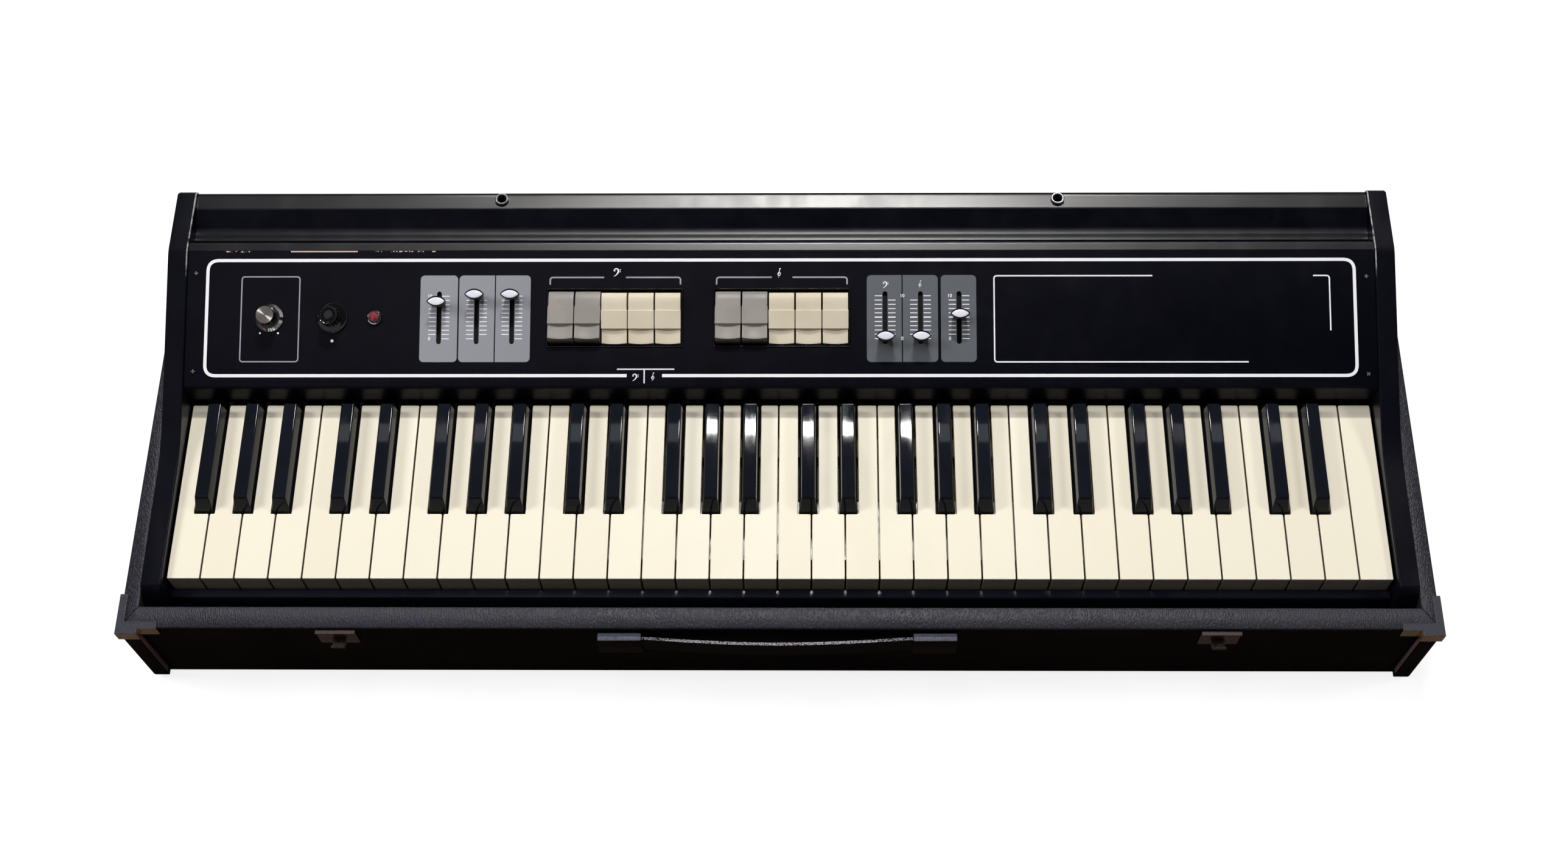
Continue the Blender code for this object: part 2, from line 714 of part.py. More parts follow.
def make_sliders():
    for name, x, share in SLIDERS:
        s = CONTROL_LINE - SLIDER_TRAVEL / 2 + SLIDER_TRAVEL * share
        foot = SLIDER_CAP_FOOT
        outline = lens_outline(SLIDER_CAP_LENGTH * foot, SLIDER_CAP_WIDTH * foot)
        cap = finish(column(outline, SLIDER_CAP_LOW, SLIDER_CAP_HIGH, 1 / foot), name,
                     BLACK_PLASTIC, panel_place(x, s), smooth=30)
        stem = box_body(-STEM_THICK / 2, STEM_THICK / 2, -STEM_WIDTH / 2,
                        STEM_WIDTH / 2, -PANEL_SHEET, SLIDER_CAP_LOW + 0.001)
        combine(cap, [finish(stem, "stem", BLACK_PLASTIC, panel_place(x, s))], "UNION")


def tab_outline():
    """Side view of a level rocker tab: end slope, upper face, raised band, scoop."""
    half = TAB_LENGTH / 2
    face = TAB_FACE
    step = TAB_STEP
    scoop = [(-half + 0.0006, face - 0.0002), (-half * 0.75, face - 0.0013),
             (-half * 0.5, face - 0.0014), (-half * 0.31, face - 0.0006)]
    boss = [(TAB_BOSS * math.cos(a), -TAB_PIVOT + TAB_BOSS * math.sin(a))
            for a in [math.radians(-25 - 130 * k / 4) for k in range(5)]]
    outline = [(-half, -TAB_UNDER), (-half, face - 0.0010)]
    outline += scoop
    outline += [(-half * 0.31, face + step), (half * 0.30, face + step),
                (half * 0.30, face), (half * 0.74, face - 0.0002),
                (half - 0.0004, face - 0.0030), (half, face - 0.0040),
                (half, -TAB_UNDER)]
    outline += boss
    return outline


def make_tabs():
    for bank, centre in BANK_X.items():
        for k in range(TABS_PER_BANK):
            x = centre + (k - (TABS_PER_BANK - 1) / 2) * TAB_PITCH
            grey = k < GREY_TABS
            rock = TAB_ROCK if grey else -TAB_ROCK
            place = panel_place(x, CONTROL_LINE, -TAB_PIVOT)
            place = place @ Matrix.Rotation(-rock, 4, "X")
            outline = shifted(tab_outline(), 0.0, TAB_PIVOT)
            item = finish(prism(outline, -TAB_WIDTH / 2, TAB_WIDTH / 2),
                          "%s_tab_%d" % (bank, k + 1), GREY if grey else CREAM, place)
            add_bevel(item, 0.0003, angle=50.0)


def make_tab_frames():
    half_x, half_s = bank_outer()
    wall = BANK_WALL
    ridge = 0.0025
    for bank, x in BANK_X.items():
        low = -BANK_DEPTH
        floor = low + BANK_FLOOR
        bm = joined_boxes([
            (-half_x, half_x, -half_s, half_s, low, floor),
            (-half_x, -half_x + wall, -half_s, half_s, low, BANK_PROUD),
            (half_x - wall, half_x, -half_s, half_s, low, BANK_PROUD),
            (-half_x, half_x, -half_s, -half_s + wall, low, BANK_PROUD),
            (-half_x, half_x, half_s - wall, half_s, low, BANK_PROUD),
            (-half_x, half_x, -ridge, ridge, low, -TAB_PIVOT - TAB_BOSS - TOUCH),
        ])
        finish(bm, "%s_tab_frame" % bank, BLACK_PLASTIC, panel_place(x, CONTROL_LINE))


def fluted(radius, depth, flutes):
    points = []
    for k in range(flutes * 2):
        a = math.pi * k / flutes
        r = radius - (depth if k % 2 else 0.0)
        points.append((r * math.cos(a), r * math.sin(a)))
    return points


def make_knob(name, x, skirt, body):
    """A skirted knob with a fluted grip, on its shaft."""
    high = KNOB_HEIGHT
    base = 0.0006
    profile = [(0.0, -PANEL_SHEET), (SHAFT_RADIUS, -PANEL_SHEET), (SHAFT_RADIUS, base),
               (skirt - 0.0004, base), (skirt, base + 0.0004), (skirt, base + 0.0012),
               (skirt - 0.0016, base + 0.0026), (body - 0.0010, base + 0.0032),
               (0.0, base + 0.0032)]
    item = finish(turned(profile, 28), name, BLACK_PLASTIC,
                  panel_place(x, CONTROL_LINE), smooth=35)
    grip = column(fluted(body, 0.0004, 20), base + 0.0020, high, 0.93)
    combine(item, [finish(grip, "grip", BLACK_PLASTIC, panel_place(x, CONTROL_LINE))],
            "UNION")


def make_lamp():
    profile = [(0.0, -PANEL_SHEET), (LAMP_STEM, -PANEL_SHEET), (LAMP_STEM, TOUCH),
               (LAMP_BEZEL, TOUCH), (LAMP_BEZEL, 0.0012), (LAMP_BEZEL - 0.0012, 0.0024),
               (LAMP_BEZEL - 0.0022, 0.0022), (LAMP_BEZEL - 0.0024, 0.0042),
               (LAMP_BEZEL - 0.0036, 0.0056), (0.0, 0.0062)]
    finish(turned(profile, 16), "pilot_lamp", JEWEL, panel_place(LAMP_X, CONTROL_LINE),
           smooth=40)


def lever_box(centre, front, axis):
    half = LEVER_WIDTH / 2
    return (centre - half, centre + half, KEY_Y + front, KEY_Y + axis + COMB_BAR / 2,
            KEY_Z - LEVER_DEPTH, KEY_Z - LEVER_DROP)


def comb_boxes(centres, axis):
    """Back bar under the crossing levers, with a heel down from each own lever."""
    y0, y1 = KEY_Y + axis - COMB_BAR / 2, KEY_Y + axis + COMB_BAR / 2
    half = LEVER_WIDTH / 2
    heel = KEY_Z - COMB_HEEL
    boxes = [(c - half, c + half, y0, y1, heel, KEY_Z - LEVER_DEPTH) for c in centres]
    bar_top = KEY_Z - LEVER_DEPTH - COMB_BAR_CLEAR
    boxes.append((min(centres) - half, max(centres) + half, y0, y1, heel, bar_top))
    return boxes


def neck_of(letter, last):
    """Edges of a white key's neck from its left side, between the black keys."""
    order = "FGABCDE"
    left_letter = order[(order.index(letter) - 1) % 7]
    low, high = KEY_GAP / 2, KEY_PITCH - KEY_GAP / 2
    if left_letter in SHARP_SHIFT and not last:
        low = SHARP_SHIFT[left_letter] + BLACK_NOTCH / 2
    if letter in SHARP_SHIFT and not last:
        high = KEY_PITCH + SHARP_SHIFT[letter] - BLACK_NOTCH / 2
    return low, high


def white_key_boxes(index, letter, axis, last=False):
    x = -WHITE_KEYS * KEY_PITCH / 2 + index * KEY_PITCH
    low, high = neck_of(letter, last)
    left, right = x + KEY_GAP / 2, x + KEY_PITCH - KEY_GAP / 2
    centre = x + (low + high) / 2
    top, under = KEY_Z, KEY_Z - WHITE_COVER
    front, head, end = KEY_Y, KEY_Y + WHITE_HEAD, KEY_Y + WHITE_LENGTH
    boxes = [
        (left, right, front, head, under, top),
        (x + low, x + high, head, end, under, top),
        (left, right, front, front + LIP_WALL, KEY_Z - WHITE_LIP, under),
        lever_box(centre, LIP_WALL, axis),
    ]
    return boxes, centre


def round_white_tops(bm):
    edges = [e for e in bm.edges
             if all(abs(v.co.z - KEY_Z) < 1e-6 for v in e.verts)
             and len(e.link_faces) == 2]
    bmesh.ops.bevel(bm, geom=edges, offset=KEY_EDGE_ROUND, segments=1, profile=0.5,
                    affect="EDGES")


def hinge_place(axis):
    return Vector((0.0, KEY_Y + axis, KEY_Z - COMB_HEEL))


def finish_comb(bm, name, mat, axis):
    """Put the object's origin on its hinge line."""
    hinge = hinge_place(axis)
    bmesh.ops.translate(bm, verts=bm.verts, vec=-hinge)
    finish(bm, name, mat, Matrix.Translation(hinge))


def make_white_comb(name, first, letters, axis, last=False):
    boxes, centres = [], []
    for letter in letters:
        index = first + "FGABCDE".index(letter)
        more, centre = white_key_boxes(index, letter, axis, last)
        boxes += more
        centres.append(centre)
    boxes += comb_boxes(centres, axis)
    bm = joined_boxes(boxes)
    round_white_tops(bm)
    finish_comb(bm, name, IVORY, axis)


def make_sharp_comb(name, first, axis):
    boxes, centres = [], []
    base_top = KEY_Z - BLACK_BASE_DROP
    for letter, shift in SHARP_SHIFT.items():
        index = first + "FGABCDE".index(letter) + 1
        centre = -WHITE_KEYS * KEY_PITCH / 2 + index * KEY_PITCH + shift
        half = BLACK_BASE / 2
        boxes.append((centre - half, centre + half, KEY_Y + WHITE_HEAD + TOUCH * 2,
                      KEY_Y + BLACK_BACK, KEY_Z - LEVER_DEPTH, base_top))
        boxes.append(lever_box(centre, BLACK_BACK, axis))
        centres.append(centre)
    boxes += comb_boxes(centres, axis)
    bm = joined_boxes(boxes)
    caps = [f for f in bm.faces
            if all(abs(v.co.z - base_top) < 1e-6 for v in f.verts)]
    grown = bmesh.ops.extrude_discrete_faces(bm, faces=caps)["faces"]
    narrow = (BLACK_BASE - BLACK_TOP) / 2
    for face in grown:
        middle = face.calc_center_median()
        for v in face.verts:
            v.co.z = KEY_Z + BLACK_RISE
            v.co.x += narrow if v.co.x < middle.x else -narrow
            if v.co.y < middle.y:
                v.co.y += BLACK_FRONT_SLOPE
    edges = {e for f in grown for e in f.edges}
    edges |= {e for f in grown for v in f.verts for e in v.link_edges}
    bmesh.ops.bevel(bm, geom=list(edges), offset=KEY_EDGE_ROUND * 1.3, segments=1,
                    profile=0.5, affect="EDGES")
    finish_comb(bm, name, EBONY, axis)


def comb_axes():
    return [COMB_AXIS_FIRST - k * COMB_AXIS_STEP for k in range(3)]


def make_keys():
    face_axis, gbd_axis, sharp_axis = comb_axes()
    for octave in range(OCTAVES):
        first = 7 * octave
        stem = "keys_octave_%d" % (octave + 1)
        make_white_comb(stem + "_face", first, "FACE", face_axis)
        make_white_comb(stem + "_gbd", first, "GBD", gbd_axis)
        make_sharp_comb(stem + "_sharps", first, sharp_axis)
    make_white_comb("key_top_f", 7 * OCTAVES, "F", face_axis, last=True)


def make_key_slip():
    y = KEY_Y - SLIP_FROM_KEYS
    item = finish(box_body(-WORKS_HALF, WORKS_HALF, y - SLIP_THICK, y, SEAT_Z,
                           KEY_Z - SLIP_TOP), "key_slip", EBONY)
    add_bevel(item, 0.0008, segments=2)


def make_keybed():
    """A folded sheet: front stop rail, sunk deck and hinge rail, on two feet."""
    floor = SEAT_Z - KEY_Z + BED_SHEET
    rail = -BED_RAIL_DROP
    deck = -BED_DECK_DROP
    hinge = -COMB_HEEL - TOUCH
    front, back = BED_FRONT_Y, BED_HINGE_BACK
    line = [
        (front - BED_FOOT, floor), (front, floor), (front, rail),
        (front + BED_RAIL, rail), (front + BED_RAIL, deck), (BED_HINGE_FRONT, deck),
        (BED_HINGE_FRONT, hinge), (back, hinge), (back, floor), (back + BED_FOOT, floor),
    ]
    outline = shifted(folded_sheet(line, BED_SHEET), KEY_Y, KEY_Z)
    finish(prism(outline, -WORKS_HALF, WORKS_HALF), "keybed_frame", STEEL)


def make_contact_board():
    z = KEY_Z - BED_DECK_DROP + TOUCH
    y = KEY_Y + CONTACT_Y
    back = y + CONTACT_DEPTH
    half = KEYBOARD_HALF
    boxes = [(-half, half, y, back, z, z + BOARD_SHEET)]
    strip = back - CONTACT_STRIP_BACK
    for k in range(OCTAVES):
        x = -half + (7 * k + 0.5) * KEY_PITCH
        boxes.append((x, x + CONTACT_STRIP_KEYS * KEY_PITCH, strip - CONTACT_STRIP_WIDTH,
                      strip, z, z + CONTACT_STRIP_HEIGHT))
    finish(joined_boxes(boxes), "key_contact_board", CIRCUIT)


def make_tone_board():
    z = SEAT_Z
    top = z + BOARD_LEG
    x0, x1 = TONE_BOARD_LEFT, TONE_BOARD_LEFT + TONE_BOARD_WIDTH
    y1 = UNIT_BACK_Y - TONE_BOARD_BACK
    y0 = y1 - TONE_BOARD_DEPTH
    leg = BOARD_LEG_WIDTH
    boxes = [(x0, x1, y0, y1, top, top + BOARD_SHEET)]
    for x in (x0, (x0 + x1 - leg) / 2, x1 - leg):
        for y in (y0, y1 - leg):
            boxes.append((x, x + leg, y, y + leg, z, top))
    pitch = TONE_BOARD_WIDTH / CHIPS
    for k in range(CHIPS):
        x = x0 + (k + 0.25) * pitch
        for row in CHIP_ROWS:
            boxes.append((x, x + CHIP_LENGTH, y0 + row, y0 + row + CHIP_WIDTH, top,
                          top + CHIP_HEIGHT))
    finish(joined_boxes(boxes), "tone_generator_board", CIRCUIT)


def make_panel_board():
    """Board behind the panel: slide pots, two rotary units and the lamp holder."""
    top = -PANEL_BOARD_DEEP
    low = top - BOARD_SHEET
    reach = -PANEL_SHEET - TOUCH
    x0, x1 = TUNE_X - PANEL_BOARD_MARGIN, SLIDERS[-1][1] + PANEL_BOARD_MARGIN
    line = CONTROL_LINE
    boxes = [(x0, x1, line - PANEL_BOARD_HALF, line + PANEL_BOARD_HALF, low, top)]
    wide = POT_HALF_WIDTH
    half = SLIDER_TRAVEL / 2 + POT_END
    for _, x, _ in SLIDERS:
        boxes.append((x - wide, x + wide, line - half, line + half, top, reach))
    for x, size in ((TUNE_X, TUNE_POT_HALF), (POWER_X, POWER_SWITCH_HALF),
                    (LAMP_X, LAMP_HOLDER_HALF)):
        boxes.append((x - size, x + size, line - size, line + size, top, reach))
    finish(joined_boxes(boxes), "panel_circuit_board", CIRCUIT, panel_place(0.0, 0.0))


def make_transformer():
    """Laminated core standing on its flange, with the coil through its middle."""
    cx, cy = TRANSFORMER_X, UNIT_BACK_Y - TRANSFORMER_BACK
    core_w, core_d, core_h = TRANSFORMER_CORE
    coil_w, coil_d, coil_h = TRANSFORMER_COIL
    z = SEAT_Z
    middle = z + core_h / 2
    item = joined_boxes([
        (cx - core_w / 2 - TRANSFORMER_EAR, cx + core_w / 2 + TRANSFORMER_EAR,
         cy - core_d / 2, cy + core_d / 2, z, z + TRANSFORMER_PLATE),
        (cx - core_w / 2, cx + core_w / 2, cy - core_d / 2, cy + core_d / 2, z,
         z + core_h),
        (cx - coil_w / 2, cx + coil_w / 2, cy - coil_d / 2, cy + coil_d / 2,
         middle - coil_h / 2, middle + coil_h / 2),
    ])
    add_bevel(finish(item, "power_transformer", LAMINATE), 0.0010)


def make_handle():
    top = RIM_Z - HANDLE_TOP_DROP
    front = BOARD_Y - CAP_FRONT
    strap_mid = BOARD_Y - STRAP_END_OUT + STRAP_THICK / 2
    strap_top = top - (HANDLE_CAP_HEIGHT - STRAP_HEIGHT) / 2
    inner = HANDLE_CAP_X - HANDLE_CAP_LENGTH / 2
    for name, side in (("left_handle_cap", -1), ("right_handle_cap", 1)):
        x = side * HANDLE_CAP_X
        x0, x1 = x - HANDLE_CAP_LENGTH / 2, x + HANDLE_CAP_LENGTH / 2
        cap = finish(box_body(x0, x1, front, BOARD_Y - TOUCH, top - HANDLE_CAP_HEIGHT,
                              top), name, VINYL)
        add_bevel(cap, 0.0012, segments=2)
        bake(cap)
        room = STRAP_PLAY
        reach = STRAP_IN_CAP + room
        a, b = sorted((side * (inner - 0.01), side * (inner + reach)))
        slot = box_body(a, b, strap_mid - STRAP_THICK / 2 - room,
                        strap_mid + STRAP_THICK / 2 + room,
                        strap_top - STRAP_HEIGHT - room, strap_top + room)
        combine(cap, [finish(slot, "slot", VINYL)], "DIFFERENCE")
    half = inner + STRAP_IN_CAP
    steps = 18
    outer, back = [], []
    for k in range(steps + 1):
        x = -half + 2 * half * k / steps
        inside = min(abs(x) / inner, 1.0)
        bow = STRAP_BOW * math.cos(inside * math.pi / 2)
        y = strap_mid - bow
        outer.append((x, y - STRAP_THICK / 2))
        back.append((x, y + STRAP_THICK / 2))
    bm = column(outer + list(reversed(back)), strap_top - STRAP_HEIGHT, strap_top)
    finish(bm, "handle_strap", VINYL, smooth=30)


def make_latches():
    top = RIM_Z - LATCH_DROP
    back = BOARD_Y - TOUCH
    sheet = LATCH_SHEET
    mid = top - LATCH_HEIGHT * 0.62
    for name, side in (("left_latch_keeper", -1), ("right_latch_keeper", 1)):
        x = side * LATCH_X
        half = LATCH_WIDTH / 2
        low = top - LATCH_HEIGHT
        plate = joined_boxes([
            (x - half, x + half, back - sheet, back, low, top),
            (x - half, x + half, back - LATCH_FLANGE, back, top - sheet, top),
        ])
        item = finish(plate, name, CHROME)
        radius = HOOK_RADIUS
        line = [(back, mid)] + [(back - sheet - radius + radius * math.cos(a),
                                 mid - 0.0015 - radius * math.sin(a))
                                for a in [math.radians(20 + 160 * k / 6)
                                          for k in range(7)]]
        line.append((back - sheet - 2 * radius, mid + 0.0010))
        hook = prism(folded_sheet(line, sheet * 0.8), x - HOOK_WIDTH / 2,
                     x + HOOK_WIDTH / 2)
        combine(item, [finish(hook, "hook", CHROME)], "UNION")


def make_corners():
    """Bent-sheet guards on the two front corners of the rim."""
    t = CORNER_SHEET
    g = TOUCH
    post = BOARD_Y - POST_PROUD
    side_out = TRAY_HALF + g + t
    post_in = TRAY_INNER_HALF - g - t
    arm = CORNER_ARM
    low = RIM_Z - CORNER_FACE
    top = RIM_Z + g + t
    face_in = TRAY_HALF + g
    for name, side in (("left_corner_guard", -1), ("right_corner_guard", 1)):
        boxes = [
            (TRAY_HALF - CORNER_TOP, side_out, post - g - t, post + arm, RIM_Z + g, top),
            (face_in, side_out, post - g - t, post + arm, low, top),
            (post_in, side_out, post - g - t, post - g, low, top),
            (post_in, side_out, post - g - t, BOARD_Y + CORNER_TOP, RIM_Z + g, top),
            (post_in, post_in + t, post - g - t, BOARD_Y - g, low, top),
            (side_out - arm, post_in + t, BOARD_Y - g - t, BOARD_Y - g, low, top),
            (side_out - arm, post_in + t, BOARD_Y - g - t, BOARD_Y + CORNER_TOP,
             RIM_Z + g, top),
        ]
        if side < 0:
            boxes = [(-b[1], -b[0], *b[2:]) for b in boxes]
        add_bevel(finish(joined_boxes(boxes), name, CHROME), 0.0003)


def build():
    clear_scene()
    make_tray()
    make_cheeks()
    make_moulding()
    make_sockets()
    make_rear_panel()
    make_rear_fittings()
    make_control_panel()
    make_sliders()
    make_tab_frames()
    make_tabs()
    make_knob("tune_knob", TUNE_X, TUNE_SKIRT, TUNE_BODY)
    make_knob("power_switch_knob", POWER_X, POWER_SKIRT, POWER_BODY)
    make_lamp()
    make_keys()
    make_key_slip()
    make_keybed()
    make_contact_board()
    make_tone_board()
    make_panel_board()
    make_transformer()
    make_handle()
    make_latches()
    make_corners()


build()
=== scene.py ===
# %% [markdown]
# # A string synthesizer, dressed for the studio
#
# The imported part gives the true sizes: a 61-key keyboard with its sloping control
# panel, standing in a vinyl-covered carrying tray.  This lesson dresses it.  Each
# step says what a piece is on the real object, how it could be made in Blender, and
# why it is made the way it is here.
#
# Everything is in metres.  +X is the treble side, the player sits at -Y, and the
# floor is at z = 0.  Every finished piece keeps its object at the origin and its
# place in its mesh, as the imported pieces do.

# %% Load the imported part
import math

import bmesh
import bpy
from mathutils import Matrix, Vector


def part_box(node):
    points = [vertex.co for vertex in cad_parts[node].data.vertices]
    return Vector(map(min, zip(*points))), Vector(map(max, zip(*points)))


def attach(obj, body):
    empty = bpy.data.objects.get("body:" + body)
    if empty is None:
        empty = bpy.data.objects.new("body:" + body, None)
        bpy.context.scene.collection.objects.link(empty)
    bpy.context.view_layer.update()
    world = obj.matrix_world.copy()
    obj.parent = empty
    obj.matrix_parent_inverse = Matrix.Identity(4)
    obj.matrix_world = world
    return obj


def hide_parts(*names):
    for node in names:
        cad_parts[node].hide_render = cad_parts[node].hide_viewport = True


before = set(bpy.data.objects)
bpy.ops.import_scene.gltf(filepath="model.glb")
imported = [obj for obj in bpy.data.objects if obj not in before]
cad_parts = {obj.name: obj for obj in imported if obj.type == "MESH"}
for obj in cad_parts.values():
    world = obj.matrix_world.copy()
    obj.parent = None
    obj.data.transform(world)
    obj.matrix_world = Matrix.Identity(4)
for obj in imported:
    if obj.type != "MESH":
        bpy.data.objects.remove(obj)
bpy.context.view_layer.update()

# %% [markdown]
# ## Sizes that every step shares
#
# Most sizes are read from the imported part, so that nothing has to be fitted by eye.
# A few places, such as the slope of the panel, can't be read from a box, so they are
# written down once here.

# %% Shared sizes
tray_low, tray_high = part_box("case_tray")
key_low, key_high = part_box("keys_octave_1_face")
KEY_Y = key_low.y
KEY_Z = key_high.z
RIM_Z = tray_high.z
POST_PROUD = 0.0038
SIDE_WALL, FRONT_BOARD = 0.0120, 0.0160
RIM_SKEW = FRONT_BOARD / SIDE_WALL
KEY_PITCH = 0.0235
KEY_GAP = 0.0009
WHITE_KEYS = 36
KEYBOARD_LEFT = -WHITE_KEYS * KEY_PITCH / 2
PANEL_SLOPE = math.radians(20.0)
PANEL_ORIGIN = Vector((0.0, KEY_Y + 0.1370, KEY_Z + 0.0220))
PANEL_FRAME = Matrix.Translation(PANEL_ORIGIN) @ Matrix.Rotation(PANEL_SLOPE, 4, "X")
CONTROL_LINE = 0.0505
TUNE_X, POWER_X, LAMP_X = -0.3639, -0.3190, -0.2885
SLIDERS = {
    "volume_slider": -0.2425, "brass_tone_slider": -0.2156,
    "strings_tone_slider": -0.1903, "bass_sustain_slider": 0.0758,
    "treble_sustain_slider": 0.1010, "vibrato_slider": 0.1284,
}
BANKS = {"bass": -0.1169, "treble": 0.0022}
TAB_PITCH = 0.0191


def panel_place(x, s, n=0.0):
    """Frame of a thing on the panel: X along it, Y up the slope, Z out of it."""
    return PANEL_FRAME @ Matrix.Translation((x, s, n))


print("keys start at y %.4f, key tops at z %.4f, rim at z %.4f" % (KEY_Y, KEY_Z, RIM_Z))

# %% [markdown]
# ## The camera
#
# The photographer stood in front of the keyboard and looked down at about 63
# degrees.  The camera's place and turn were worked out beforehand from the joints
# between the white keys, which lie an even 23.5 mm apart.  A matrix built from the
# view's own axes keeps the small roll of a hand-held camera, which a Track To
# constraint would lose.

# %% Camera
CAMERA_PLACE = Vector((0.02456, -0.64678, 1.36093))
CAMERA_PITCH = math.radians(63.47)
CAMERA_YAW = math.radians(-1.8715)
CAMERA_ROLL = math.radians(-1.668)
LENS = 45.75


def camera_matrix():
    ahead = Vector((math.sin(CAMERA_YAW) * math.cos(CAMERA_PITCH),
                    math.cos(CAMERA_YAW) * math.cos(CAMERA_PITCH),
                    -math.sin(CAMERA_PITCH)))
    level = ahead.cross(Vector((0.0, 0.0, 1.0))).normalized()
    up = level.cross(ahead)
    right = level * math.cos(CAMERA_ROLL) + up * math.sin(CAMERA_ROLL)
    top = up * math.cos(CAMERA_ROLL) - level * math.sin(CAMERA_ROLL)
    turn = Matrix((right, top, -ahead)).transposed()
    return Matrix.Translation(CAMERA_PLACE) @ turn.to_4x4()


camera = bpy.data.objects.new("camera", bpy.data.cameras.new("camera"))
camera.data.lens = LENS
camera.data.sensor_width = 36.0
camera.data.clip_start = 0.01
camera.matrix_world = camera_matrix()
bpy.context.scene.collection.objects.link(camera)
bpy.context.scene.camera = camera
bpy.context.scene.view_settings.view_transform = "Standard"
print("camera %.3f m above the floor" % CAMERA_PLACE.z)

# %% [markdown]
# ## Node helpers
#
# Every finish below is a node tree.  Writing one by hand takes many lines that say
# the same thing, so a few small helpers put a node in a tree, feed its sockets with
# numbers or with other nodes, and do sums.

# %% Node helpers
def put(tree, kind, feed=None, **settings):
    """Add a node; feed maps its sockets to numbers, colours or other sockets."""
    made = tree.nodes.new(kind)
    for key, value in settings.items():
        setattr(made, key, value)
    for key, value in (feed or {}).items():
        if isinstance(value, bpy.types.NodeSocket):
            tree.links.new(value, made.inputs[key])
        else:
            made.inputs[key].default_value = value
    return made


def calc(tree, operation, a, b=0.0):
    return put(tree, "ShaderNodeMath", {0: a, 1: b}, operation=operation).outputs[0]


def times(tree, a, b):
    return calc(tree, "MULTIPLY", a, b)


def plus(tree, a, b):
    return calc(tree, "ADD", a, b)


def minus(tree, a, b):
    return calc(tree, "SUBTRACT", a, b)


def divided(tree, a, b):
    return calc(tree, "DIVIDE", a, b)


def between(tree, value, low, high, to_low=0.0, to_high=1.0):
    """0 below low, 1 above high, and a soft step in between."""
    feed = {"Value": value, "From Min": low, "From Max": high, "To Min": to_low,
            "To Max": to_high}
    made = put(tree, "ShaderNodeMapRange", feed, interpolation_type="SMOOTHSTEP")
    return made.outputs["Result"]


def mixed(tree, mask, a, b):
    feed = {0: mask, 6: a, 7: b}
    return put(tree, "ShaderNodeMix", feed, data_type="RGBA").outputs[2]


def position(tree, scale=(1.0, 1.0, 1.0), turn=(0.0, 0.0, 0.0)):
    """Place on the object in metres, stretched and turned."""
    spot = put(tree, "ShaderNodeTexCoord").outputs["Object"]
    feed = {"Vector": spot, "Rotation": turn, "Scale": scale}
    return put(tree, "ShaderNodeMapping", feed).outputs["Vector"]


def place_axes(tree):
    """X, Y and Z of the place on the object."""
    spot = put(tree, "ShaderNodeTexCoord").outputs["Object"]
    return put(tree, "ShaderNodeSeparateXYZ", {0: spot}).outputs


def facing_axes(tree):
    """X, Y and Z of the direction in which a face looks."""
    normal = put(tree, "ShaderNodeNewGeometry").outputs["Normal"]
    return put(tree, "ShaderNodeSeparateXYZ", {0: normal}).outputs


def distance_along(tree, direction):
    """How far the place on the object lies along a direction."""
    spot = put(tree, "ShaderNodeTexCoord").outputs["Object"]
    return put(tree, "ShaderNodeVectorMath", {0: spot, 1: tuple(direction)},
               operation="DOT_PRODUCT").outputs["Value"]


def sockets_of(mat):
    return mat.node_tree.nodes["Principled BSDF"].inputs


def connect(mat, **sockets):
    """Link node outputs to the shader's sockets of the same names."""
    for label, socket in sockets.items():
        mat.node_tree.links.new(socket, sockets_of(mat)[label.replace("_", " ")])


def noise(tree, spot, scale, detail=2.0, roughness=0.5):
    feed = {"Vector": spot, "Scale": scale, "Detail": detail, "Roughness": roughness}
    return put(tree, "ShaderNodeTexNoise", feed).outputs["Fac"]


def start_group(name, inputs, outputs):
    """An empty node group with named number inputs and outputs."""
    tree = bpy.data.node_groups.new(name, "ShaderNodeTree")
    for label, value in inputs.items():
        socket = tree.interface.new_socket(label, in_out="INPUT",
                                           socket_type="NodeSocketFloat")
        socket.default_value = value
    for label in outputs:
        tree.interface.new_socket(label, in_out="OUTPUT", socket_type="NodeSocketFloat")
    coming = tree.nodes.new("NodeGroupInput").outputs
    going = tree.nodes.new("NodeGroupOutput").inputs
    return tree, coming, going


def use(tree, group, feed=None):
    """Place a node group in a tree and return its outputs."""
    made = tree.nodes.new("ShaderNodeGroup")
    made.node_tree = group
    for key, value in (feed or {}).items():
        made.inputs[key].default_value = value
    return made.outputs


# %% [markdown]
# ## Effects that several finishes share
#
# Paint rubs off along edges, dust settles on faces that look up, fingers leave
# smudges, and cloth and moulded plastic each have their own fine relief.  A node
# group holds each effect once, and each material gives it its own sizes.
#
# Worn edges could be painted by hand or found from the mesh's curvature.  Here the
# Bevel node compares the true surface with an imagined rounded one: where the two
# differ there is an edge.  It needs no extra vertices.

# %% Edge wear
def make_edge_wear():
    tree, coming, going = start_group(
        "edge wear", {"Width": 0.0006, "Patch size": 0.006, "Amount": 0.5}, ["Mask"])
    rounded = put(tree, "ShaderNodeBevel", {"Radius": coming["Width"]}, samples=4)
    true = put(tree, "ShaderNodeNewGeometry").outputs["Normal"]
    dot = put(tree, "ShaderNodeVectorMath", {0: rounded.outputs[0], 1: true},
              operation="DOT_PRODUCT").outputs["Value"]
    edge = between(tree, minus(tree, 1.0, dot), 0.015, 0.10)
    scale = divided(tree, 1.0, coming["Patch size"])
    patches = noise(tree, position(tree), scale, 6.0, 0.7)
    limit = minus(tree, 0.80, times(tree, coming["Amount"], 0.6))
    patches = calc(tree, "GREATER_THAN", patches, limit)
    tree.links.new(times(tree, edge, patches), going["Mask"])
    return tree


EDGE_WEAR = make_edge_wear()

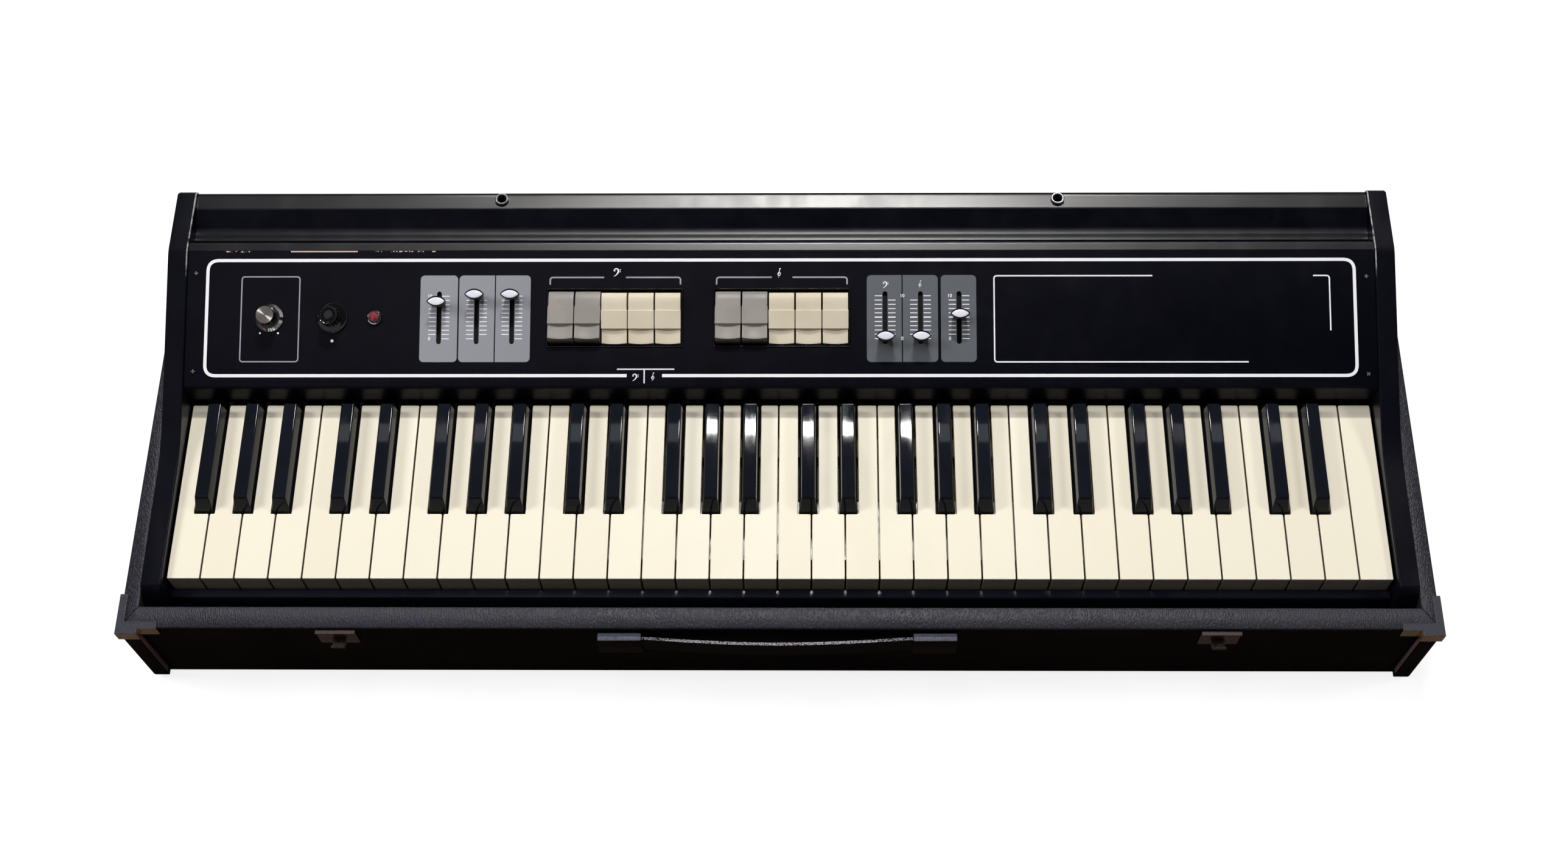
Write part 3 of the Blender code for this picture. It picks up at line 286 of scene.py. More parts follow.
# %% Dust and smudges
def make_dust():
    """Specks and a thin film on faces that look up, and soft smudges anywhere."""
    tree, coming, going = start_group(
        "dust and smudges", {"Speck size": 0.0007, "Amount": 0.5}, ["Dust", "Smudge"])
    lying = between(tree, facing_axes(tree)["Z"], 0.35, 0.9)
    scale = divided(tree, 1.0, coming["Speck size"])
    specks = between(tree, noise(tree, position(tree), scale, 3.0, 0.6), 0.66, 0.74)
    film = between(tree, noise(tree, position(tree), 45.0, 5.0, 0.6), 0.42, 0.72)
    dust = plus(tree, specks, times(tree, film, 0.25))
    dust = times(tree, dust, coming["Amount"])
    tree.links.new(times(tree, dust, lying), going["Dust"])
    smudge = noise(tree, position(tree, (1.0, 0.4, 1.0)), 60.0, 4.0, 0.6)
    tree.links.new(between(tree, smudge, 0.4, 0.75), going["Smudge"])
    return tree


DUST = make_dust()

# %% Cloth grain
def make_grain():
    """Pebbles of embossed vinyl, longer along one diagonal than across it."""
    tree, coming, going = start_group("pebbled grain", {"Pebble": 0.0009},
                                      ["Height", "Valley"])
    scale = divided(tree, 1.0, coming["Pebble"])
    spot = position(tree, (1.0, 0.42, 1.0), (0.0, 0.0, math.radians(-28.0)))
    cells = put(tree, "ShaderNodeTexVoronoi",
                {"Vector": spot, "Scale": scale, "Smoothness": 0.4},
                feature="SMOOTH_F1").outputs["Distance"]
    fine = noise(tree, spot, times(tree, scale, 2.2), 3.0, 0.6)
    height = between(tree, cells, 0.70, 0.05)
    both = plus(tree, height, times(tree, fine, 0.5))
    tree.links.new(both, going["Height"])
    deep = plus(tree, cells, times(tree, fine, 0.5))
    tree.links.new(between(tree, deep, 0.50, 0.95), going["Valley"])
    return tree


GRAIN = make_grain()

# %% Moulded skin
def make_skin():
    """The faint ripple of moulded or sprayed surfaces, and slow drifts of tone."""
    tree, coming, going = start_group("moulded skin", {"Ripple": 0.0012},
                                      ["Height", "Tone"])
    scale = divided(tree, 1.0, coming["Ripple"])
    tree.links.new(noise(tree, position(tree), scale, 3.0, 0.55), going["Height"])
    tree.links.new(noise(tree, position(tree), 35.0, 3.0, 0.5), going["Tone"])
    return tree


SKIN = make_skin()

# %% Hairline scratches
def make_scratches():
    """Thin lines in two directions, kept where a second pattern allows them."""
    tree, coming, going = start_group("hairline scratches", {"Amount": 0.5}, ["Mask"])
    lines = []
    for turn, stretch in ((0.5, (900.0, 18.0, 900.0)), (-0.9, (700.0, 14.0, 700.0))):
        spot = position(tree, stretch, (0.0, 0.0, turn))
        thin = noise(tree, spot, 1.0, 1.0, 0.5)
        lines.append(between(tree, thin, 0.70, 0.76))
    where = between(tree, noise(tree, position(tree), 25.0, 3.0, 0.6), 0.45, 0.7)
    mask = times(tree, calc(tree, "MAXIMUM", *lines), where)
    tree.links.new(times(tree, mask, coming["Amount"]), going["Mask"])
    return tree


SCRATCHES = make_scratches()
print("shared effects:", [group.name for group in bpy.data.node_groups])

# %% [markdown]
# ## Finishes
#
# Each finish starts from one Principled shader.  What is the same all over a piece
# is set on the shader's own sockets, and what changes over the surface comes from
# the shared effects.  The helper below wires the parts that nearly all of them have:
# a colour that drifts between two tones, dust, a varying roughness and a bump.

# %% A finish from its sizes
GREY_DUST, BLUE_DUST = (0.27, 0.27, 0.29, 1), (0.27, 0.27, 0.30, 1)


def start_finish(name, **sockets):
    mat = bpy.data.materials.new(name)
    mat.use_nodes = True
    for label, value in sockets.items():
        sockets_of(mat)[label.replace("_", " ")].default_value = value
    return mat, mat.node_tree


def feed_bump(mat, height, depth, strength=1.0):
    bump = put(mat.node_tree, "ShaderNodeBump",
               {"Height": height, "Distance": depth, "Strength": strength})
    connect(mat, Normal=bump.outputs["Normal"])


def shine_by_side(mat, standing, lying, steep=0.35, level=0.92):
    """Set the strength of reflections apart for upright and for level faces."""
    tree = mat.node_tree
    sockets_of(mat)["Specular IOR Level"].default_value = lying
    strength = between(tree, facing_axes(tree)["Z"], steep, level, standing, lying)
    connect(mat, Specular_IOR_Level=strength)


def drift(tree, tone, dark, light):
    """A colour that wanders slowly between two tones."""
    return mixed(tree, between(tree, tone, 0.3, 0.7), (*dark, 1), (*light, 1))


def smudged(tree, settled, smooth, rough):
    """A roughness that rises where fingers have been."""
    return between(tree, settled["Smudge"], 0.0, 1.0, smooth, rough)


def plain_finish(name, dark, light, rough, dust=0.0, ripple=0.0012, depth=0.00003,
                 wear=None, **sockets):
    """Two tones, a rough and a smooth share, dust, ripple and worn edges."""
    mat, tree = start_finish(name, **sockets)
    skin = use(tree, SKIN, {"Ripple": ripple})
    colour = drift(tree, skin["Tone"], dark, light)
    settled = use(tree, DUST, {"Amount": dust})
    if wear:
        width, amount, bare = wear
        worn = use(tree, EDGE_WEAR, {"Width": width, "Amount": amount})["Mask"]
        colour = mixed(tree, worn, colour, (*bare, 1))
    if dust:
        colour = mixed(tree, settled["Dust"], colour, GREY_DUST)
    connect(mat, Base_Color=colour, Roughness=smudged(tree, settled, *rough))
    feed_bump(mat, skin["Height"], depth)
    return mat


# %% [markdown]
# ### Vinyl cloth
#
# The tray is covered in black vinyl on a cloth backing, embossed with a pebbled
# grain.  A picture texture would do, but the Voronoi texture gives the same pebbles
# at any size, without a seam round the corners of the box.  The cloth itself is
# nearly black.  What makes it look slate-coloured from above is the sheen on its
# pebbles, and grey is painted on their tops on level faces as a painted sheen, partly
# the polish of hands.  The front is painted darker than the sides and the back, as
# painted shade where the light from behind doesn't reach.  The cloth is folded at the
# corners of the rim, and the fold leaves a diagonal crease, pressed in as a bump and
# painted darker along its line as shade.

# %% Vinyl cloth
RIM_CREASE = 0.0007


def make_crease(tree):
    """Diagonal line from each front corner of the rim, found from x and y."""
    axes = place_axes(tree)
    inward_x = minus(tree, tray_high.x, calc(tree, "ABSOLUTE", axes["X"]))
    inward_y = minus(tree, axes["Y"], tray_low.y + POST_PROUD)
    off_line = minus(tree, inward_y, times(tree, inward_x, RIM_SKEW))
    return between(tree, calc(tree, "ABSOLUTE", off_line), RIM_CREASE, 0.0)


def make_vinyl():
    mat, tree = start_finish("vinyl cloth")
    grain = use(tree, GRAIN)
    tone = noise(tree, position(tree), 18.0, 5.0, 0.6)
    facing = facing_axes(tree)
    up = facing["Z"]
    lying = between(tree, up, 0.25, 0.80)
    # Level faces get grey on their pebble tops: a painted sheen, partly polish.
    greyed = times(tree, lying, minus(tree, 1.0, grain["Valley"]))
    # The front is painted darker than the other standing faces: painted shade.
    painted_front_shade = mixed(tree, between(tree, facing["Y"], -0.9, -0.3),
                     (0.0038, 0.0026, 0.0021, 1), (0.016, 0.016, 0.020, 1))
    slate = drift(tree, tone, (0.016, 0.016, 0.030), (0.033, 0.033, 0.054))
    colour = mixed(tree, greyed, painted_front_shade, slate)
    # The crease line is painted darker as shade in the fold; the bump below presses it
    # in.
    crease = times(tree, make_crease(tree), lying)
    colour = mixed(tree, crease, colour, (0.004, 0.004, 0.005, 1))
    worn = use(tree, EDGE_WEAR, {"Width": 0.0010, "Amount": 0.22, "Patch size": 0.003})
    colour = mixed(tree, worn["Mask"], colour, (0.060, 0.055, 0.058, 1))
    roughness = between(tree, tone, 0.3, 0.7, 0.44, 0.52)
    connect(mat, Base_Color=colour, Roughness=roughness)
    shine_by_side(mat, 0.02, 0.55, 0.20, 0.75)
    height = minus(tree, grain["Height"], times(tree, crease, 2.0))
    feed_bump(mat, height, 0.00020, between(tree, up, 0.0, 0.9, 0.05, 1.0))
    return mat


VINYL = make_vinyl()

# %% [markdown]
# ### Paints and plastics
#
# The moulding is satin black lacquer.  The keys, tabs and knobs are moulded plastics,
# which differ mainly in gloss: the keys are polished, the tabs are matt, and old
# cream plastic has yellowed unevenly.

# %% Paints and plastics
LACQUER = plain_finish(
    "satin black lacquer", (0.0018, 0.0022, 0.0045), (0.0028, 0.0034, 0.0065),
    (0.32, 0.36), dust=0.03, ripple=0.0016, depth=0.000003,
    wear=(0.0005, 0.25, (0.30, 0.27, 0.25)))
shine_by_side(LACQUER, 0.10, 0.85, 0.92, 0.98)
EBONY = plain_finish(
    "polished black key", (0.0060, 0.0075, 0.0120), (0.0080, 0.0095, 0.0155),
    (0.02, 0.045), dust=0.02, ripple=0.005, depth=0.000001)
shine_by_side(EBONY, 0.10, 0.50)
SLIP_SATIN = plain_finish(
    "satin black slip", (0.0040, 0.0055, 0.0115), (0.0060, 0.0080, 0.0160),
    (0.30, 0.34), dust=0.03, ripple=0.0016, depth=0.000003, Specular_IOR_Level=1.0)
CREAM = plain_finish(
    "cream tab plastic", (0.69, 0.615, 0.475), (0.735, 0.665, 0.53), (0.42, 0.54),
    ripple=0.0010, depth=0.000004, Specular_IOR_Level=0.2)
GREY = plain_finish(
    "grey tab plastic", (0.27, 0.250, 0.235), (0.315, 0.290, 0.270), (0.36, 0.48),
    ripple=0.0010, depth=0.000004, Specular_IOR_Level=0.3)
BLACK_PLASTIC = plain_finish(
    "black moulding", (0.0030, 0.0028, 0.0038), (0.0050, 0.0046, 0.0055), (0.25, 0.40),
    dust=0.03, ripple=0.0008, depth=0.000005)
KNOB_BLACK = plain_finish(
    "glossy knob", (0.0025, 0.0028, 0.0040), (0.0045, 0.0050, 0.0065), (0.06, 0.12),
    dust=0.03, ripple=0.003, depth=0.000001, Specular_IOR_Level=1.0)
PRINT_WHITE = plain_finish(
    "white print", (0.92, 0.93, 0.97), (0.95, 0.96, 0.99), (0.4, 0.5),
    ripple=0.0006, depth=0.000002)
PRINT_GREY = plain_finish(
    "grey print", (0.33, 0.33, 0.39), (0.38, 0.38, 0.44), (0.4, 0.5),
    ripple=0.0006, depth=0.000002)
LEAF_SILVER = plain_finish(
    "silvered leaf", (0.78, 0.79, 0.92), (0.88, 0.87, 0.95), (0.25, 0.40),
    ripple=0.003, depth=0.000004)

# %% [markdown]
# The handle's caps and strap are black at the front.  Their narrow upper faces are
# painted pale as a painted sheen of the lamps, so the colour follows how far a face
# looks up, and a noise breaks the painted sheen up.

# %% Handle with a painted top sheen
def scuffed_finish(name, front, top, limits):
    mat, tree = start_finish(name, Roughness=0.5)
    skin = use(tree, SKIN, {"Ripple": 0.0009})
    # Upward faces are painted pale as a painted sheen of the lamps.
    scuff = times(tree, between(tree, facing_axes(tree)["Z"], 0.75, 0.95),
                  between(tree, skin["Height"], *limits))
    connect(mat, Base_Color=mixed(tree, scuff, (*front, 1), (*top, 1)))
    shine_by_side(mat, 0.04, 0.40)
    feed_bump(mat, skin["Height"], 0.00003)
    return mat


STRAP_BLACK = scuffed_finish("strap rubber", (0.0016, 0.0012, 0.0012),
                             (0.34, 0.34, 0.38), (0.42, 0.56))
HANDLE_GREY = scuffed_finish("handle cap", (0.0060, 0.0030, 0.0030),
                             (0.105, 0.115, 0.150), (0.25, 0.50))

# %% [markdown]
# The grey fields are printed in a silver ink, and their tone is made darker from the
# bass end towards the treble end, so it follows x.

# %% Silver ink
def make_silver_ink():
    mat, tree = start_finish("silver ink", Roughness=0.5)
    # The tone is made darker towards the treble end.
    towards_treble = between(tree, place_axes(tree)["X"], -0.26, 0.10)
    colour = mixed(tree, towards_treble, (0.345, 0.355, 0.395, 1), (0.125, 0.138, 0.155, 1))
    skin = use(tree, SKIN, {"Ripple": 0.0005})
    grainy = times(tree, skin["Height"], 0.25)
    colour = mixed(tree, grainy, colour, (0.05, 0.05, 0.06, 1))
    connect(mat, Base_Color=colour)
    feed_bump(mat, skin["Height"], 0.000005)
    return mat


PLATE_GREY = make_silver_ink()

# %% [markdown]
# The enamel of the panel has chipped along its upper edge, where the lid rubbed it,
# and the pinkish primer shows.  The chips sit where the height up the slope and x
# allow them, and a noise breaks them up.  The folded lip behind the keys is duller
# than the face, so it doesn't mirror the keys.

# %% Panel enamel
PANEL_LENGTH = 0.0992
CHIPPED = ((-0.398, -0.378, 0.52), (-0.350, -0.302, 0.20), (-0.296, -0.246, 0.55))


def make_chips(tree):
    """One where the enamel has come off the panel's upper edge."""
    slope = PANEL_FRAME.to_3x3().col[1]
    x = place_axes(tree)["X"]
    edge = PANEL_ORIGIN.dot(slope) + PANEL_LENGTH
    near = between(tree, distance_along(tree, slope), edge - 0.0012, edge - 0.0007)
    broken = noise(tree, position(tree), 420.0, 3.0, 0.6)
    found = 0.0
    for left, right, limit in CHIPPED:
        inside = times(tree, calc(tree, "GREATER_THAN", x, left),
                       calc(tree, "LESS_THAN", x, right))
        loose = calc(tree, "GREATER_THAN", broken, limit)
        found = calc(tree, "MAXIMUM", found, times(tree, inside, loose))
    return times(tree, found, near)


def make_enamel():
    mat, tree = start_finish("panel enamel")
    skin = use(tree, SKIN, {"Ripple": 0.0006})
    settled = use(tree, DUST, {"Amount": 0.012})
    colour = drift(tree, skin["Tone"], (0.0014, 0.0018, 0.0048),
                   (0.0020, 0.0026, 0.0060))
    colour = mixed(tree, settled["Dust"], colour, BLUE_DUST)
    colour = mixed(tree, make_chips(tree), colour, (0.60, 0.47, 0.40, 1))
    connect(mat, Base_Color=colour, Roughness=smudged(tree, settled, 0.36, 0.42))
    shine_by_side(mat, 0.08, 0.30)
    feed_bump(mat, skin["Height"], 0.000003)
    return mat


ENAMEL = make_enamel()

# %% [markdown]
# The cheeks wear the same lacquer as the moulding, and a bright line is painted along
# the inner top edge behind the bend as a painted highlight.

# %% Worn lacquer of the cheeks
cheek_inner = -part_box("left_cheek")[1].x


def make_cheek_lacquer():
    mat, tree = start_finish("worn lacquer", Specular_IOR_Level=0.25)
    skin = use(tree, SKIN, {"Ripple": 0.0016})
    settled = use(tree, DUST, {"Amount": 0.01})
    colour = drift(tree, skin["Tone"], (0.0018, 0.0022, 0.0052),
                   (0.0028, 0.0034, 0.0074))
    colour = mixed(tree, settled["Dust"], colour, BLUE_DUST)
    worn = use(tree, EDGE_WEAR, {"Width": 0.0005, "Amount": 0.30})["Mask"]
    colour = mixed(tree, worn, colour, (0.30, 0.27, 0.25, 1))
    axes, up = place_axes(tree), facing_axes(tree)["Z"]
    # A pale line along the inner top edge behind the bend: a painted highlight.
    line = calc(tree, "LESS_THAN", calc(tree, "ABSOLUTE", axes["X"]),
                cheek_inner + 0.0008)
    line = times(tree, line, calc(tree, "GREATER_THAN", up, 0.3))
    line = times(tree, line, between(tree, axes["Y"], 0.085, 0.100))
    kept = between(tree, noise(tree, position(tree), 160.0, 4.0, 0.65), 0.36, 0.56)
    colour = mixed(tree, times(tree, line, kept), colour, (0.46, 0.44, 0.46, 1))
    connect(mat, Base_Color=colour, Roughness=smudged(tree, settled, 0.34, 0.40))
    feed_bump(mat, skin["Height"], 0.000003)
    return mat


CHEEK_LACQUER = make_cheek_lacquer()

# %% [markdown]
# ### Ivory-coloured keys
#
# White keys are moulded one by one, and no two have aged alike.  Rounding a point's
# x to whole keys gives each key one random number, which shifts its tone slightly.
# The sides between keys are painted dark brown as shade in the joints, and this
# painted shade makes each joint read as a thin dark line.

# %% White key plastic
def make_ivory():
    mat, tree = start_finish("white key plastic", Specular_IOR_Level=0.22)
    from_left = minus(tree, place_axes(tree)["X"], KEYBOARD_LEFT)
    count = calc(tree, "FLOOR", divided(tree, from_left, KEY_PITCH))
    chance = put(tree, "ShaderNodeTexWhiteNoise", {"W": count},
                 noise_dimensions="1D").outputs["Value"]
    colour = mixed(tree, chance, (0.885, 0.830, 0.670, 1), (0.915, 0.868, 0.720, 1))
    settled = use(tree, DUST, {"Amount": 0.04, "Speck size": 0.0009})
    colour = mixed(tree, settled["Dust"], colour, (0.45, 0.40, 0.30, 1))
    sideways = calc(tree, "ABSOLUTE", facing_axes(tree)["X"])
    # Side faces are painted dark brown: painted shade in the joints between keys.
    painted_joint_shade = between(tree, sideways, 0.5, 0.95, 0.0, 0.85)
    colour = mixed(tree, painted_joint_shade, colour, (0.16, 0.11, 0.06, 1))
    connect(mat, Base_Color=colour, Roughness=smudged(tree, settled, 0.38, 0.48))
    skin = use(tree, SKIN, {"Ripple": 0.006})
    feed_bump(mat, skin["Height"], 0.000002)
    return mat


IVORY = make_ivory()

# %% [markdown]
# ### Metals
#
# The corner guards, latch keepers and sockets are chromed steel that has dulled and
# pitted.  A metal shows mostly what it reflects, so its character sits in the
# roughness: smooth where hands polish it, and rough where it has pitted.  Faces that
# look up keep the metal's own colour, while the standing ones are painted brown as a
# painted reflection of the warm floor, and where that painted reflection is strong it
# hides the metal and behaves like paint.

# %% Metals
def metal_finish(name, bright, dull, rough, spot_size=0.002, depth=0.000006,
                 painted_floor_reflection=None, **sockets):
    mat, tree = start_finish(name, **{"Metallic": 1.0, **sockets})
    skin = use(tree, SKIN, {"Ripple": spot_size})
    stain = between(tree, skin["Height"], 0.40, 0.68)
    scratched = use(tree, SCRATCHES, {"Amount": 0.5})["Mask"]
    colour = mixed(tree, stain, (*bright, 1), (*dull, 1))
    if painted_floor_reflection:
        # Standing faces are painted brown: a painted reflection of the warm floor.
        standing = between(tree, facing_axes(tree)["Z"], 0.7, 0.2)
        colour = mixed(tree, standing, colour, (*painted_floor_reflection, 1))
    roughness = between(tree, stain, 0.0, 1.0, rough[0], rough[1])
    roughness = plus(tree, roughness, times(tree, scratched, 0.2))
    connect(mat, Base_Color=colour, Roughness=roughness)
    feed_bump(mat, skin["Height"], depth)
    return mat


CHROME = metal_finish("pitted chrome", (0.15, 0.16, 0.195), (0.080, 0.085, 0.105),
                      (0.22, 0.40), painted_floor_reflection=(0.34, 0.25, 0.14), spot_size=0.003,
                      Metallic=0.65)
# The latch metal is tinted brown as a painted reflection of the warm floor.
LATCH_METAL = metal_finish("nickel, painted floor reflection", (0.10, 0.08, 0.08), (0.05, 0.035, 0.032),
                           (0.25, 0.45), painted_floor_reflection=(0.055, 0.024, 0.018), Metallic=0.35)
# The edging's brown-pink colour is a painted reflection of the brown surroundings.
EDGING = metal_finish("dull edging", (0.40, 0.29, 0.30), (0.30, 0.20, 0.20),
                      (0.5, 0.6), Metallic=0.2)
NICKEL = metal_finish("satin nickel", (0.55, 0.56, 0.60), (0.34, 0.34, 0.37),
                      (0.24, 0.34), spot_size=0.004, depth=0.000002)
BRIGHT_CHROME = metal_finish("bright chrome", (0.86, 0.86, 0.88), (0.74, 0.74, 0.76),
                             (0.08, 0.18), spot_size=0.004, depth=0.000002)
STEEL = metal_finish("zinc steel", (0.52, 0.52, 0.50), (0.38, 0.37, 0.33),
                     (0.30, 0.50), spot_size=0.006)
SCREW_STEEL = metal_finish("dull screw", (0.30, 0.33, 0.27), (0.17, 0.19, 0.15),
                           (0.40, 0.55), Metallic=0.4)

# %% [markdown]
# The tune knob wears a spun aluminium cap.  Its turning marks are rings far finer
# than a pixel, and they spread a lamp's light into two bright wedges.  Modelling the
# rings would cost a million faces, so the shader's anisotropy does it: it stretches
# each highlight across a direction called the tangent.  Crossing the knob's axis
# with the direction away from it gives a tangent that runs round the cap.

# %% Spun aluminium
def make_spun(name, x):
    mat, tree = start_finish(name, Metallic=1.0, Roughness=0.34,
                                     Anisotropic=0.92)
    axis = tuple(PANEL_FRAME.to_3x3().col[2])
    centre = panel_place(x, CONTROL_LINE).translation
    spot = put(tree, "ShaderNodeTexCoord").outputs["Object"]
    away = put(tree, "ShaderNodeVectorMath", {0: spot, 1: tuple(-c for c in centre)},
               operation="ADD").outputs["Vector"]
    round_it = put(tree, "ShaderNodeVectorMath", {0: axis, 1: away},
                   operation="CROSS_PRODUCT").outputs["Vector"]
    tangent = put(tree, "ShaderNodeVectorMath", {0: round_it}, operation="NORMALIZE")
    radius = put(tree, "ShaderNodeVectorMath", {0: round_it},
                 operation="LENGTH").outputs["Value"]
    rings = calc(tree, "SINE", times(tree, radius, 9000.0))
    tone = mixed(tree, between(tree, rings, -1.0, 1.0), (0.78, 0.76, 0.70, 1),
                 (0.92, 0.90, 0.84, 1))
    connect(mat, Base_Color=tone, Tangent=tangent.outputs["Vector"])
    return mat


SPUN = make_spun("spun aluminium", TUNE_X)

# %% [markdown]
# ### The lamp's jewel, the boards and the iron
#
# The jewel is clear red plastic, but unlit it lets little light through, so a red base
# under a glossy coat is enough.  The boards and the transformer hide inside, and only
# a glimpse of them shows through the slots, so they get simple patterns: copper lanes
# under green lacquer, black potentiometers on them, and the thin plates of an iron
# core.

# %% Jewel, boards and iron
JEWEL = plain_finish(
    "red jewel", (0.12, 0.010, 0.016), (0.30, 0.035, 0.055), (0.05, 0.12),
    depth=0.00002, Coat_Weight=1.0, Coat_Roughness=0.03)


def make_board(name, parts_above=None):
    """Lacquered copper lanes; above a height over the panel's plane, dark parts."""
    mat, tree = start_finish(name, Roughness=0.45)
    lanes = put(tree, "ShaderNodeTexBrick",
                {"Vector": position(tree), "Scale": 90.0, "Mortar Size": 0.08,
                 "Color1": (0.10, 0.15, 0.05, 1), "Color2": (0.13, 0.19, 0.07, 1),
                 "Mortar": (0.30, 0.24, 0.08, 1)})
    colour = lanes.outputs["Color"]
    if parts_above is not None:
        axis = PANEL_FRAME.to_3x3().col[2]
        dark = calc(tree, "GREATER_THAN", distance_along(tree, axis),
                    PANEL_ORIGIN.dot(axis) + parts_above)
        colour = mixed(tree, dark, colour, (0.004, 0.004, 0.005, 1))
    connect(mat, Base_Color=colour)
    feed_bump(mat, lanes.outputs["Fac"], 0.00004)
    return mat


def make_iron():
    mat, tree = start_finish("iron core", Roughness=0.55)
    plates = put(tree, "ShaderNodeTexWave",
                 {"Vector": position(tree), "Scale": 250.0, "Distortion": 0.2},
                 bands_direction="Y")
    colour = mixed(tree, plates.outputs["Fac"], (0.05, 0.045, 0.04, 1),
                   (0.13, 0.11, 0.09, 1))
    connect(mat, Base_Color=colour)
    feed_bump(mat, plates.outputs["Fac"], 0.0001)
    return mat


BOARD = make_board("circuit board")
CONTROL_BOARD = make_board("control board", -0.0142)
IRON = make_iron()
print("finishes:", len(bpy.data.materials))

# %% [markdown]
# ## The studio
#
# The photograph's background is pure white, while the black plastic stays deep.  A
# white dome would turn every polished key grey, so the whiteness is kept to what
# lies below the horizon: a pale floor and a low wall round the set.  Both glow for
# the camera and for what is seen through clear things, and more faintly in
# reflections, the floor fainter than the wall.  For the rest of the light they stay
# dull surfaces, the floor a brown one, as the warm tint under the key fronts tells.
# So the object keeps its shadow and its dark front.

# %% Floor and wall
GLOW_RISE = (1.0, 4.0)


def make_stage_finish(name, near, far, share, dull):
    """A dull surface that also glows where the camera or a reflection sees it."""
    mat = bpy.data.materials.new(name)
    mat.use_nodes = True
    tree = mat.node_tree
    tree.nodes.clear()
    ray = put(tree, "ShaderNodeLightPath").outputs
    straight = calc(tree, "MAXIMUM", ray["Is Camera Ray"], ray["Is Transmission Ray"])
    mirrored = times(tree, ray["Is Glossy Ray"], share)
    seen = calc(tree, "MAXIMUM", straight, mirrored)
    spot = put(tree, "ShaderNodeTexCoord").outputs["Object"]
    away = put(tree, "ShaderNodeVectorMath", {0: spot}, operation="LENGTH")
    glow = between(tree, away.outputs["Value"], *GLOW_RISE, near, far)
    speckle = noise(tree, spot, 9.0, 4.0, 0.6)
    pale = mixed(tree, speckle, (0.34, 0.34, 0.34, 1), (0.38, 0.38, 0.38, 1))
    colour = mixed(tree, straight, (*dull, 1), pale)
    matt = put(tree, "ShaderNodeBsdfDiffuse", {"Color": colour})
    lit = put(tree, "ShaderNodeEmission",
              {"Color": (1, 1, 1, 1), "Strength": times(tree, seen, glow)})
    both = put(tree, "ShaderNodeAddShader", {0: matt.outputs[0], 1: lit.outputs[0]})
    put(tree, "ShaderNodeOutputMaterial", {"Surface": both.outputs[0]})
    return mat


STAGE_RADIUS = 14.0
WALL_HEIGHT = 5.0
STAGE_STEPS = 64
# name, glow for the camera near the object and far off, share of it in reflections,
# colour in other light
STAGE = (("studio_floor", 0.84, 1.0, 0.05, (0.17, 0.115, 0.09)),
         ("studio_wall", 1.0, 1.0, 0.30, (0.12, 0.12, 0.12)))


def make_stage():
    for name, *tones in STAGE:
        bm = bmesh.new()
        ring = []
        for k in range(STAGE_STEPS):
            a = 2 * math.pi * k / STAGE_STEPS
            ring.append(bm.verts.new((STAGE_RADIUS * math.cos(a),
                                      STAGE_RADIUS * math.sin(a), 0.0)))
        if name == "studio_floor":
            bm.faces.new(ring)
        else:
            top = [bm.verts.new((v.co.x, v.co.y, WALL_HEIGHT)) for v in ring]
            for k in range(STAGE_STEPS):
                j = (k + 1) % STAGE_STEPS
                bm.faces.new((ring[j], ring[k], top[k], top[j]))
        mesh = bpy.data.meshes.new(name)
        bm.to_mesh(mesh)
        bm.free()
        mesh.materials.append(make_stage_finish(name, *tones))
        item = bpy.data.objects.new(name, mesh)
        bpy.context.scene.collection.objects.link(item)


make_stage()

# %% [markdown]
# The light comes from above and behind, as over a shop counter.  The bright patches
# on the middle black keys say where the lamp hangs: a mirror direction worked out
# from them points 63 degrees up, behind the keyboard.  A short strip there gives
# those patches, and a stronger lamp close behind it the sheen along the moulding.
# Two dim pieces of ceiling show in glossy things: one beside the strip, and one at the
# left that greys the panel.  A wide lamp overhead and one at each side do the rest.
# The last three are hidden from mirror rays: the room behind the photographer was
# dark, and the polished black shows it.

# %% Lamps and world
LAMP_AIM = Vector((0.0, 0.0, 0.10))
WORLD_TINT, WORLD_STRENGTH = (1.0, 0.78, 0.68, 1), 0.03


def hang_lamp(name, place, size, watts, colour=(1.0, 1.0, 1.0), mirrored=True):
    data = bpy.data.lights.new(name, "AREA")
    data.shape = "RECTANGLE"
    data.size, data.size_y = size
    data.energy = watts
    data.color = colour
    item = bpy.data.objects.new(name, data)
    place = Vector(place)
    item.matrix_world = (Matrix.Translation(place)
                         @ (LAMP_AIM - place).to_track_quat("-Z", "Y").to_matrix()
                         .to_4x4())
    item.visible_glossy = mirrored
    bpy.context.scene.collection.objects.link(item)


hang_lamp("long_lamp", (0.025, 1.15, 2.42), (0.48, 0.022), 3.7, (1.0, 0.985, 0.96))
hang_lamp("sheen_lamp", (0.05, 1.36, 2.35), (0.40, 0.12), 32.0, (1.0, 0.98, 0.95))
hang_lamp("glow_strip", (0.0, 1.15, 2.44), (2.0, 0.036), 0.22, (0.88, 0.94, 1.0))
hang_lamp("left_ceiling", (-1.05, -0.60, 3.0), (1.1, 1.2), 1.3, (1.0, 0.90, 1.0))
hang_lamp("wide_lamp", (-0.45, 0.10, 3.0), (1.6, 0.6), 25.5, mirrored=False)
hang_lamp("left_lamp", (-2.3, 0.2, 2.2), (0.8, 0.8), 31.0, mirrored=False)
hang_lamp("right_lamp", (2.3, 0.2, 2.2), (0.5, 0.5), 15.0, mirrored=False)

world = bpy.data.worlds.new("studio")
world.use_nodes = True
backdrop = world.node_tree.nodes["Background"].inputs
backdrop["Color"].default_value = WORLD_TINT
backdrop["Strength"].default_value = WORLD_STRENGTH
bpy.context.scene.world = world

